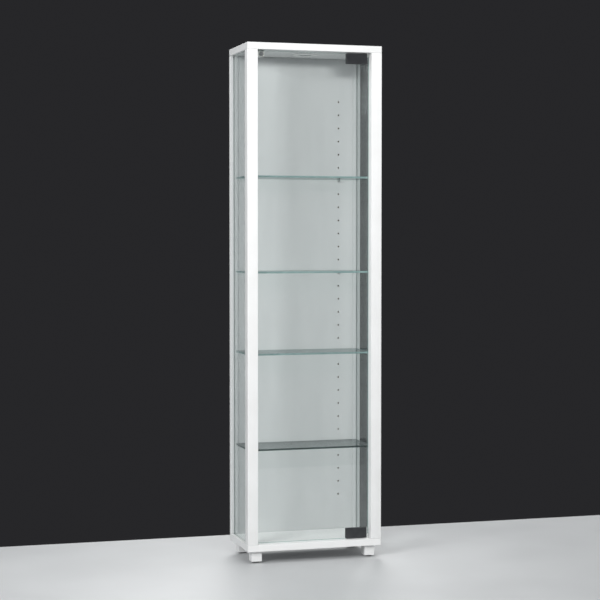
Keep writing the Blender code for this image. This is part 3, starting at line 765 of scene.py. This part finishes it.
def door_outline(low, high):
    """The door's outline, anticlockwise as seen from the front, with relieved notch corners."""
    left, right, foot, head = low.x, high.x, low.z, high.z
    inner = right - NOTCH_WIDTH
    r = NOTCH_RELIEF
    corner = SHEET_CORNER
    outline = []
    outline += arc_points((left + corner, foot + corner), corner, 180, 270, 4)
    outline += [(inner, foot), (inner, foot + NOTCH_HEIGHT - r)]
    outline += arc_points((inner + r, foot + NOTCH_HEIGHT - r), r, 180, 90, 5)[1:]
    outline += arc_points((right - corner, foot + NOTCH_HEIGHT + corner), corner, 270, 360, 4)
    outline += arc_points((right - corner, head - NOTCH_HEIGHT - corner), corner, 0, 90, 4)
    outline += arc_points((inner + r, head - NOTCH_HEIGHT + r), r, 270, 180, 5)
    outline += [(inner, head)]
    outline += arc_points((left + corner, head - corner), corner, 90, 180, 4)
    return outline


def loop_edges(bm, points, y):
    corners = [bm.verts.new((x, y, z)) for x, z in points]
    return [bm.edges.new((a, b)) for a, b in zip(corners, corners[1:] + corners[:1])]


door_low, door_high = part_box("door_glass")
clamp_x = middle_of("hinge_clamp_screw_top").x
screw_heights = {end: middle_of(f"hinge_clamp_screw_{end}").z for end in ("top", "bottom")}

door_bm = bmesh.new()
loops = loop_edges(door_bm, door_outline(door_low, door_high), door_low.y)
for z in screw_heights.values():
    circle = arc_points((clamp_x, z), CLAMP_HOLE_RADIUS, 0, 360 - 360 / HOLE_SIDES, HOLE_SIDES - 1)
    loops += loop_edges(door_bm, circle, door_low.y)
bmesh.ops.triangle_fill(door_bm, use_beauty=True, use_dissolve=False, edges=loops,
                        normal=(0.0, -1.0, 0.0))
front_faces = list(door_bm.faces)
pushed = bmesh.ops.extrude_face_region(door_bm, geom=front_faces)
for item in pushed["geom"]:
    if isinstance(item, bmesh.types.BMVert):
        item.co.y = door_high.y
bmesh.ops.recalc_face_normals(door_bm, faces=door_bm.faces)
door_bm.normal_update()
rim = [e for e in door_bm.edges if len(e.link_faces) == 2
       and abs(abs(e.link_faces[0].normal.y) - abs(e.link_faces[1].normal.y)) > 0.5]
bmesh.ops.bevel(door_bm, geom=rim, offset=DOOR_ARRIS, segments=1, profile=0.5, affect="EDGES")
paint_sheet(door_bm, 1)
make_piece("door_pane", door_bm, "door", (pane_face, pane_edge), ["door_glass"])

# %% [markdown]
# ## Hinges
# Each hinge is a pair of cast plates that clamp the glass from both sides. The rear plate carries a small
# block that fills the notch in the glass, and the pivot pin stands in that block. The front plate has a
# pocket that the block drops into. The plates are rounded boxes, and a Boolean cuts the pocket and the
# screw's seat, so that the two plates really fit round each other.

# %% Clamp plates
BOSS_PROUD = 0.002
FIT = 0.0003
PLATE_CORNER = 0.002
PLATE_RIM = 0.0006
PAST = 0.002
INTO_PLATE = 0.0015
SCREW_BORE = 0.0023
SEAT_RADIUS = 0.0041
SEAT_DEEP = 0.0022
PIN_BORE = 0.0023
PIN_BORE_FROM_EDGE = 0.0103


def carve(piece_bm, cutters, operation="DIFFERENCE"):
    """Cuts closed shapes out of a closed shape, or joins them, and returns a new bmesh."""
    scratch = []
    for bm in (piece_bm, *cutters):
        scratch.append(put_in_scene("scratch", mesh_from(bm, "scratch")))
    for cutter in scratch[1:]:
        cutting = scratch[0].modifiers.new("cut", "BOOLEAN")
        cutting.operation = operation
        cutting.solver = "EXACT"
        cutting.object = cutter
    bpy.context.view_layer.update()
    graph = bpy.context.evaluated_depsgraph_get()
    result = bmesh.new()
    done = bpy.data.meshes.new_from_object(scratch[0].evaluated_get(graph))
    result.from_mesh(done)
    for holder in scratch:
        mesh = holder.data
        bpy.data.objects.remove(holder)
        bpy.data.meshes.remove(mesh)
    bpy.data.meshes.remove(done)
    bmesh.ops.remove_doubles(result, verts=result.verts, dist=1e-6)
    bmesh.ops.dissolve_degenerate(result, edges=result.edges, dist=1e-7)
    return result


pivot = middle_of("pivot_pin_top")
boss_left = door_high.x - NOTCH_WIDTH + FIT

for end, up in (("top", 1), ("bottom", -1)):
    front_low, front_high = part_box(f"hinge_front_plate_{end}")
    rear_low, rear_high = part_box(f"hinge_rear_plate_{end}")
    plate_front = door_high.y + FIT
    edge = front_high.z if up > 0 else front_low.z
    boss_inner = edge - up * (NOTCH_HEIGHT - FIT)
    boss_z = sorted((boss_inner, edge - up * 0.0001))
    pocket_z = sorted((boss_inner - up * FIT, edge + up * PAST))
    boss_front = door_low.y - BOSS_PROUD
    pocket = box_between((boss_left - FIT, boss_front - FIT, pocket_z[0]),
                         (front_high.x + PAST, front_high.y + PAST, pocket_z[1]))
    front = carve(rounded_plate(front_low, front_high, 1, PLATE_CORNER, PLATE_RIM), [pocket])
    make_piece(f"clamp_front_{end}", front, "door", (clamp_metal,),
               [f"hinge_front_plate_{end}"])
    boss = box_between((boss_left, boss_front, boss_z[0]),
                       (rear_high.x - FIT, plate_front + INTO_PLATE, boss_z[1]))
    plate_low = (rear_low.x, plate_front, rear_low.z)
    rear = carve(rounded_plate(plate_low, rear_high, 1, PLATE_CORNER, PLATE_RIM), [boss], "UNION")
    seat = [(0.0, -0.001), (SEAT_RADIUS, -0.001), (SEAT_RADIUS, 0.0), (SCREW_BORE, SEAT_DEEP),
            (SCREW_BORE, 0.006), (0.0, 0.006)]
    seat_cut = turned(seat, (clamp_x, rear_high.y, screw_heights[end]), (0.0, -1.0, 0.0))
    pin_bore = [(0.0, 0.0), (PIN_BORE, 0.0), (PIN_BORE, 0.014), (0.0, 0.014)]
    pin_cut = turned(pin_bore, (pivot.x, pivot.y, edge - up * PIN_BORE_FROM_EDGE), (0.0, 0.0, up))
    make_piece(f"clamp_rear_{end}", carve(rear, [seat_cut, pin_cut]), "door", (clamp_metal,),
               [f"hinge_rear_plate_{end}"])

# %% [markdown]
# ## Screws, bushes and the rest of the door's fittings
# The clamp screws have a countersunk head with a six-sided socket for a key. The profile runs down into
# the socket as hexagon rings and back up the head as circles. The nylon bushes that the pivot pins turn
# in are rings with a rounded flange. The disc that the push latch's plunger rests on is glued to the glass.

# %% Screws, bushes and disc
KEY_FLATS = 0.0012
KEY_DEEP = 0.0016
SCREW_HEAD = 0.0038
SCREW_SHANK = 0.0020
BUSH_BORE = 0.0023
BUSH_TUBE = 0.0045
BUSH_FLANGE = 0.0070
BUSH_DEEP = 0.0083
for end, up in (("top", 1), ("bottom", -1)):
    low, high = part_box(f"hinge_clamp_screw_{end}")
    length = high.y - low.y
    head = [(0.0, KEY_DEEP), (KEY_FLATS, KEY_DEEP, "hexagon"), (KEY_FLATS, 0.0001, "hexagon"),
            (0.00135, 0.0, "hexagon"), (SCREW_HEAD - 0.0002, 0.0), (SCREW_HEAD, 0.0001),
            (SCREW_SHANK, 0.0019), (SCREW_SHANK, length - 0.0003), (SCREW_SHANK - 0.0003, length),
            (0.0, length)]
    screw = turned(head, (clamp_x, high.y, screw_heights[end]), (0.0, -1.0, 0.0))
    make_piece(f"clamp_screw_{end}", screw, "door", (steel,), [f"hinge_clamp_screw_{end}"])
    low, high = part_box(f"pivot_bush_{end}")
    face = low.z + 0.001 if up > 0 else high.z - 0.001
    bush = softened([(BUSH_BORE, -0.001), (BUSH_FLANGE, -0.001), (BUSH_FLANGE, -0.0003),
                     (BUSH_TUBE, -0.0003), (BUSH_TUBE, BUSH_DEEP), (BUSH_BORE, BUSH_DEEP),
                     (BUSH_BORE, -0.001)], 0.0004)[:-1]
    ring = turned(bush, (pivot.x, pivot.y, face), (0.0, 0.0, up), closed=True)
    make_piece(f"bush_{end}", ring, "root", (nylon,), [f"pivot_bush_{end}"])

low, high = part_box("latch_strike")
disc_middle = middle_of("latch_strike")
disc_radius = (high.x - low.x) / 2
disc_height = high.y - low.y
DISC_EDGE = 0.0004
disc = softened([(0.0, 0.0), (disc_radius - DISC_EDGE, 0.0), (disc_radius, DISC_EDGE),
                 (disc_radius, disc_height), (disc_radius * 0.72, disc_height),
                 (disc_radius * 0.66, disc_height - DISC_EDGE), (0.0, disc_height - DISC_EDGE)], 0.0003)
strike = turned(disc, (disc_middle.x, low.y, disc_middle.z), (0.0, 1.0, 0.0), 64)
strike.normal_update()
for face in strike.faces:
    face.material_index = 1 if face.normal.y < -0.9 else 0
make_piece("strike_disc", strike, "door", (steel, glue_pad), ["latch_strike"])

# %% [markdown]
# ## Push latch
# The latch is a small white box under the top board with a sprung plunger in a bore with a chamfered
# mouth. Its grip ribs repeat at an even step, which is work for Geometry Nodes: a line of points, one rib
# on each, made real and given the plastic. The tree's sizes are named inputs, and each one is set by its
# identifier.

# %% A helper that runs a tree and keeps the mesh
def named_inputs(tree, sizes):
    """Adds one input for each size, with its value as the default."""
    kinds = {int: "NodeSocketInt", float: "NodeSocketFloat", tuple: "NodeSocketVector"}
    for label, value in sizes.items():
        socket = tree.interface.new_socket(label, in_out="INPUT", socket_type=kinds[type(value)])
        socket.default_value = value


def start_tree(name, sizes):
    """A geometry tree with a Geometry input and output and the named sizes. It returns the tree, what is
    given to it and its output node."""
    tree = bpy.data.node_groups.new(name, "GeometryNodeTree")
    tree.interface.new_socket("Geometry", in_out="INPUT", socket_type="NodeSocketGeometry")
    tree.interface.new_socket("Geometry", in_out="OUTPUT", socket_type="NodeSocketGeometry")
    named_inputs(tree, sizes)
    return tree, tree.nodes.new("NodeGroupInput").outputs, tree.nodes.new("NodeGroupOutput")


def end_tree(tree, geometry, material, output):
    """The tree's last two nodes: Realize Instances, then Set Material."""
    real = add_node(tree, "GeometryNodeRealizeInstances", Geometry=geometry)
    painted = add_node(tree, "GeometryNodeSetMaterial", Geometry=real, Material=material)
    feed(tree, output.inputs["Geometry"], painted)


def run_tree(tree, settings, start_mesh=None):
    """Runs the tree on a mesh with these settings and returns the result as a plain mesh."""
    holder = put_in_scene("holder", start_mesh or bpy.data.meshes.new("start"))
    modifier = holder.modifiers.new(tree.name, "NODES")
    modifier.node_group = tree
    identifiers = {item.name: item.identifier for item in tree.interface.items_tree
                   if item.in_out == "INPUT"}
    for label, value in settings.items():
        modifier[identifiers[label]] = value
    bpy.context.view_layer.update()
    graph = bpy.context.evaluated_depsgraph_get()
    result = bpy.data.meshes.new_from_object(holder.evaluated_get(graph))
    holder.modifiers.remove(modifier)
    bpy.data.objects.remove(holder)
    print(f"{tree.name}: {len(result.polygons)} faces from {settings}")
    return result


# %% Latch body, its ribs and its plunger
latch_low, latch_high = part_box("latch_body")
plunger_low, plunger_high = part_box("latch_plunger")
bore = middle_of("latch_plunger")
plunger_radius = (plunger_high.x - plunger_low.x) / 2
BORE_DEEP = 0.0273
RIB = 0.0005
body_low = latch_low + Vector((RIB, 0.0, 0.0))
body_high = latch_high - Vector((RIB, 0.0, 0.0))
loose = plunger_radius + FIT
bore_cut = [(0.0, -PAST), (loose + RIB, -PAST), (loose + RIB, 0.0), (loose, 0.0006), (loose, BORE_DEEP),
            (0.0, BORE_DEEP)]
latch = carve(rounded_plate(body_low, body_high, 2, 0.0018, 0.0005),
              [turned(bore_cut, (bore.x, latch_low.y, bore.z), (0.0, 1.0, 0.0))])
make_piece("latch_case", latch, "root", (nylon,), ["latch_body"])

rib_sizes = {"Count": 9, "Step": 0.003, "Width": 0.0009, "Proud": RIB, "Height": 0.012,
             "Apart": latch_high.x - latch_low.x - RIB,
             "First": (latch_low.x + RIB / 2, latch_low.y + 0.008, (latch_low.z + latch_high.z) / 2)}
ribs, given, result = start_tree("grip_ribs", rib_sizes)
row = add_node(ribs, "ShaderNodeCombineXYZ", Y=given["Step"])
line = add_node(ribs, "GeometryNodeMeshLine", Count=given["Count"], Start_Location=given["First"],
                Offset=row)
shift = add_node(ribs, "ShaderNodeCombineXYZ", X=given["Apart"])
other_line = add_node(ribs, "GeometryNodeTransform", Geometry=line, Translation=shift)
rows = add_node(ribs, "GeometryNodeJoinGeometry", Geometry=line)
feed(ribs, rows.inputs["Geometry"], other_line)
size = add_node(ribs, "ShaderNodeCombineXYZ", X=given["Proud"], Y=given["Width"], Z=given["Height"])
rib = add_node(ribs, "GeometryNodeMeshCube", Size=size)
placed = add_node(ribs, "GeometryNodeInstanceOnPoints", Points=rows, Instance=rib)
end_tree(ribs, placed, nylon, result)
dress_piece("latch_ribs", run_tree(ribs, rib_sizes), "root", (nylon,), ())

length = plunger_high.y - plunger_low.y
DOME_LONG = 0.0018
GROOVE_AT = 0.0048
necked = plunger_radius - 0.0004
nose = [(0.0, 0.0), (plunger_radius * 0.45, 0.00003), (plunger_radius * 0.75, 0.00025),
        (plunger_radius * 0.93, 0.0008), (plunger_radius, DOME_LONG), (plunger_radius, GROOVE_AT),
        (necked, GROOVE_AT + 0.0002), (necked, GROOVE_AT + 0.0008), (plunger_radius, GROOVE_AT + 0.0010),
        (plunger_radius, length), (0.0, length)]
make_piece("plunger", turned(nose, (bore.x, plunger_low.y, bore.z), (0.0, 1.0, 0.0)),
           "latch_plunger_body", (steel,), ["latch_plunger"])

# %% [markdown]
# ## Lamp, glides and the outlet of the lead
# The lamp is let into the top board: a flat satin nickel ring with a domed rim, and in it a frosted cover
# with fine rings that spread the light. Both are turned parts. So are the black glides under the legs,
# which have a soft rounded foot, and the grommet where the lamp's lead would leave through the rear edge.

# %% Lamp
bezel_low, bezel_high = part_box("lamp_bezel")
lamp = middle_of("lamp_bezel")
outer = (bezel_high.x - bezel_low.x) / 2
MOUTH = 0.0255
drop = bezel_high.z - bezel_low.z
bezel = softened([(MOUTH, 0.0), (MOUTH, drop * 0.55), (MOUTH + 0.0030, drop * 0.62), (MOUTH + 0.0036, drop),
                  (outer - 0.0050, drop), (outer - 0.0012, drop * 0.62), (outer, drop * 0.25), (outer, 0.0),
                  (MOUTH, 0.0)], 0.0012)[:-1]
make_piece("lamp_ring", turned(bezel, (lamp.x, lamp.y, bezel_high.z), (0.0, 0.0, -1.0), 96, closed=True),
           "root", (satin_nickel,), ["lamp_bezel"])

lens_low, lens_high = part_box("lamp_lens")
lens_radius = (lens_high.x - lens_low.x) / 2
lens_height = lens_high.z - lens_low.z
LENS_RINGS = 14
RINGED_SHARE = 0.86
lens_profile = [(0.0, 0.0)]
for step in range(1, LENS_RINGS):
    radius = lens_radius * RINGED_SHARE * step / LENS_RINGS
    lens_profile += [(radius - 0.0004, 0.00035), (radius, 0.0)]
lens_profile += [(lens_radius, 0.0), (lens_radius, lens_height), (0.0, lens_height)]
make_piece("lamp_cover", turned(lens_profile, (lamp.x, lamp.y, lens_low.z), (0.0, 0.0, 1.0), 96),
           "root", (frosted,), ["lamp_lens"])

# %% Glides and grommet
FOOT_THICK = 0.0040
STEM_RADIUS = 0.0050
STEM_BARE = 0.0105
for end in ("front", "rear"):
    for side in ("left", "right"):
        low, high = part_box(f"glide_{end}_{side}")
        radius = (high.x - low.x) / 2
        foot = softened([(0.0, 0.0003), (radius - 0.0030, 0.0003), (radius - 0.0022, 0.0),
                         (radius - 0.0008, 0.0003), (radius, 0.0016), (radius, FOOT_THICK),
                         (STEM_RADIUS, FOOT_THICK), (STEM_RADIUS, STEM_BARE),
                         (STEM_RADIUS - 0.0008, high.z), (0.0, high.z)], 0.0004)
        centre = middle_of(f"glide_{end}_{side}")
        glide = turned(foot, (centre.x, centre.y, 0.0), (0.0, 0.0, 1.0))
        make_piece(f"foot_glide_{end}_{side}", glide, "root", (black_plastic,),
                   [f"glide_{end}_{side}"])

GROMMET_BORE, GROMMET_TUBE, GROMMET_RIM = 0.0022, 0.0032, 0.0065
low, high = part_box("cable_grommet")
reach = high.y - low.y
centre = middle_of("cable_grommet")
grommet = softened([(GROMMET_BORE, 0.0), (GROMMET_RIM - 0.0005, 0.0), (GROMMET_RIM, 0.0005),
                    (GROMMET_RIM, 0.0015), (GROMMET_TUBE, 0.0015), (GROMMET_TUBE, reach),
                    (GROMMET_BORE, reach), (GROMMET_BORE, 0.0)], 0.0004)[:-1]
make_piece("lead_grommet", turned(grommet, (centre.x, high.y, centre.z), (0.0, -1.0, 0.0), closed=True),
           "root", (black_plastic,), ["cable_grommet"])

# %% [markdown]
# Behind the frosted cover sits a round circuit board with a ring of light-emitting chips. They repeat
# round a circle, so a small tree places one chip on each point of a mesh circle.

# %% Circuit board and its ring of chips
board_low, board_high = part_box("lamp_led_board")
board_radius = (board_high.x - board_low.x) / 2
board_thick = board_high.z - board_low.z
board_profile = softened([(0.0, 0.0), (board_radius, 0.0), (board_radius, board_thick), (0.0, board_thick)],
                         0.0002)
make_piece("lamp_board", turned(board_profile, (lamp.x, lamp.y, board_low.z), (0.0, 0.0, 1.0), 64),
           "root", (circuit,), ["lamp_led_board"])
chip_sizes = {"Count": 18, "Radius": 0.018, "Chip": 0.0028, "Thickness": 0.0008,
              "Centre": (lamp.x, lamp.y, board_low.z - 0.0005)}
chips, given, result = start_tree("ring_of_chips", chip_sizes)
circle = add_node(chips, "GeometryNodeMeshCircle", Vertices=given["Count"], Radius=given["Radius"])
size = add_node(chips, "ShaderNodeCombineXYZ", X=given["Chip"], Y=given["Chip"], Z=given["Thickness"])
chip = add_node(chips, "GeometryNodeMeshCube", Size=size)
spot = chips.nodes.new("GeometryNodeInputPosition")
outward = add_node(chips, "FunctionNodeAlignRotationToVector", {"axis": "X"}, Vector=spot)
placed = add_node(chips, "GeometryNodeInstanceOnPoints", Points=circle, Instance=chip, Rotation=outward)
moved = add_node(chips, "GeometryNodeTransform", Geometry=placed, Translation=given["Centre"])
end_tree(chips, moved, frosted, result)
dress_piece("lamp_chips", run_tree(chips, chip_sizes), "root", (frosted,), ())

# %% [markdown]
# ## Drilled columns
# A shelf can stand at any of thirty-one heights, so the back panel has two columns of blind holes and
# each front post has one in its rear face. A hole every 45 mm is a rule, and one tree drills them all: it
# puts a cylinder on each point of an upright line and takes the cylinders out of the board with a Mesh
# Boolean. Each face of a cylinder carries a flag, the flag stays on the hole's wall, and the last Set
# Material paints the flagged faces as raw board.

# %% The drilling tree
HOLE_RADIUS = 0.0027
HOLE_DEPTH = 0.009
PITCH = 0.045
HOLES = 31
FIRST_HOLE_ABOVE_FLOOR = 0.120


def drilling_tree(name, board_finish, hole_finish):
    tree, given, result = start_tree(name, {"Count": HOLES, "Pitch": PITCH, "Radius": HOLE_RADIUS,
                                            "Depth": HOLE_DEPTH, "Sides": 24, "First": (0.0, 0.0, 0.0)})
    step = add_node(tree, "ShaderNodeCombineXYZ", Z=given["Pitch"])
    column = add_node(tree, "GeometryNodeMeshLine", Count=given["Count"], Start_Location=given["First"],
                      Offset=step)
    twice = compute(tree, "MULTIPLY", given["Depth"], 2.0)
    drill = add_node(tree, "GeometryNodeMeshCylinder", Vertices=given["Sides"], Radius=given["Radius"],
                     Depth=twice)
    level = add_node(tree, "GeometryNodeTransform", Geometry=drill, Rotation=(math.radians(90.0), 0.0, 0.0))
    placed = add_node(tree, "GeometryNodeInstanceOnPoints", Points=column, Instance=level)
    drills = add_node(tree, "GeometryNodeRealizeInstances", Geometry=placed)
    flagged = add_node(tree, "GeometryNodeStoreNamedAttribute", {"data_type": "BOOLEAN", "domain": "FACE"},
                       Geometry=drills, Name="drilled", Value=True)
    cut = add_node(tree, "GeometryNodeMeshBoolean", {"operation": "DIFFERENCE", "solver": "EXACT"},
                   Mesh_1=given["Geometry"], Mesh_2=flagged)
    real = add_node(tree, "GeometryNodeRealizeInstances", Geometry=cut)
    wrapped = add_node(tree, "GeometryNodeSetMaterial", Geometry=real, Material=board_finish)
    walls = add_node(tree, "GeometryNodeInputNamedAttribute", {"data_type": "BOOLEAN"}, Name="drilled")
    raw = add_node(tree, "GeometryNodeSetMaterial", Geometry=wrapped, Selection=walls.outputs["Attribute"],
                   Material=hole_finish)
    feed(tree, result.inputs["Geometry"], raw)
    return tree


def first_hole(x, y):
    """The lowest hole of the column at x in the face at y."""
    inside_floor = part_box("bottom_board")[1].z
    return (x, y, inside_floor + FIRST_HOLE_ABOVE_FLOOR)


panel_drill = drilling_tree("drill_the_panel", panel_finish, chipboard)
panel_low, panel_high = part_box("back_panel")
rear_pin_x = middle_of("shelf_pin_1_rear_right").x
front_pin_x = middle_of("shelf_pin_1_front_right").x
drilled = mesh_from(rounded_plate(panel_low, panel_high, 1, 0.0, 0.0004), "panel")
for x in (-rear_pin_x, rear_pin_x):
    drilled = run_tree(panel_drill, {"First": first_hole(x, panel_low.y)}, drilled)
raw_faces = sum(face.material_index == drilled.materials.find(chipboard.name) for face in drilled.polygons)
print("faces of raw board in the panel's holes:", raw_faces)
dress_piece("drilled_back_panel", drilled, "root", (panel_finish, chipboard),
            ["back_panel"])

# %% [markdown]
# The front posts are rebuilt the same way. A post is a square bar with one-millimetre rounded edges, and a
# groove in its rear face holds the side pane. The groove is cut first, and then the column is drilled.

# %% Drilled front posts
GROOVE_DEEP = 0.006
POST_EDGE = 0.0012
post_drill = drilling_tree("drill_a_post", plain_foil, chipboard)
for side, sign in (("left", -1), ("right", 1)):
    low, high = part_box(f"front_post_{side}")
    pane_low, pane_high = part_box(f"side_glass_{side}")
    groove = box_between((pane_low.x - FIT, high.y - GROOVE_DEEP, low.z - PAST),
                         (pane_high.x + FIT, high.y + PAST, high.z + PAST))
    post = carve(rounded_plate(low, high, 2, POST_EDGE, 0.0008), [groove])
    drilled = run_tree(post_drill, {"First": first_hole(sign * front_pin_x, high.y)},
                       mesh_from(post, f"post_{side}"))
    dress_piece(f"drilled_post_{side}", drilled, "root", (plain_foil, chipboard),
                [f"front_post_{side}"])

# %% [markdown]
# ## Shelf pins
# Sixteen turned steel pins carry the shelves: two in the back panel and two in the posts for each. A pin
# has a stem in the hole, a small collar against the face, and a nose that the glass lies on. Its mesh is
# turned once. The tree then sets it at the hole that each shelf uses, with four named inputs for the hole
# numbers, and twice across. The front pins point back and the rear pins point forward.

# %% Turn one pin, then set sixteen
STEM, COLLAR, NOSE = 0.0024, 0.0040, 0.0030
SHELF_HOLES = {"Hole 1": 4, "Hole 2": 11, "Hole 3": 17, "Hole 4": 24}


def pin_mesh(length, facing):
    """A pin with its base at the origin, whose nose is length long and points along facing in Y."""
    profile = softened([(0.0, 0.0005 - HOLE_DEPTH), (STEM - 0.0004, 0.0005 - HOLE_DEPTH),
                        (STEM, 0.0010 - HOLE_DEPTH), (STEM, 0.0003), (COLLAR, 0.0003), (COLLAR, 0.0015),
                        (NOSE, 0.0015), (NOSE, length - 0.0006), (NOSE - 0.0008, length), (0.0, length)],
                       0.0003, 2)
    return mesh_from(turned(profile, (0.0, 0.0, 0.0), (0.0, facing, 0.0), 28), "pin")


def pin_tree(name):
    tree, given, result = start_tree(name, {"Pitch": PITCH, "Across": 0.1, "First": (0.0, 0.0, 0.0),
                                            **SHELF_HOLES})
    heights = tree.nodes.new("GeometryNodeJoinGeometry")
    for label in SHELF_HOLES:
        rise = compute(tree, "MULTIPLY", given[label], given["Pitch"])
        lift = add_node(tree, "ShaderNodeCombineXYZ", Z=rise)
        place = add_node(tree, "ShaderNodeVectorMath", {"operation": "ADD"}, Vector=lift)
        feed(tree, place.inputs[1], given["First"])
        shift = add_node(tree, "ShaderNodeCombineXYZ", X=given["Across"])
        pair = add_node(tree, "GeometryNodeMeshLine", Count=2, Start_Location=place, Offset=shift)
        feed(tree, heights.inputs["Geometry"], pair)
    placed = add_node(tree, "GeometryNodeInstanceOnPoints", Points=heights, Instance=given["Geometry"])
    end_tree(tree, placed, steel, result)
    return tree


pins = pin_tree("set_the_pins")
post_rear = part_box("front_post_right")[1].y
for end, x, face, facing in (("front", front_pin_x, post_rear, 1), ("rear", rear_pin_x, panel_low.y, -1)):
    low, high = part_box(f"shelf_pin_1_{end}_right")
    nose_length = (high.y - face) if facing > 0 else (face - low.y)
    settings = {"Pitch": PITCH, "Across": 2.0 * x, "First": first_hole(-x, face), **SHELF_HOLES}
    names = [f"shelf_pin_{n}_{end}_{side}" for n in range(1, 5) for side in ("left", "right")]
    dress_piece(f"{end}_pins", run_tree(pins, settings, pin_mesh(nose_length, facing)), "root",
                (steel,), names)

# %% [markdown]
# ## Last measurements
# The finished model should fill the same box as the cabinet it stands for, so both boxes are printed in
# millimetres.

# %% Sizes and finish
new_low, new_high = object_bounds()
sizes = {"cad": [list(cad_low), list(cad_high)], "visual": [list(new_low), list(new_high)]}
for label, (low, high) in sizes.items():
    print(label, [round((b - a) * 1000, 2) for a, b in zip(low, high)], "mm")
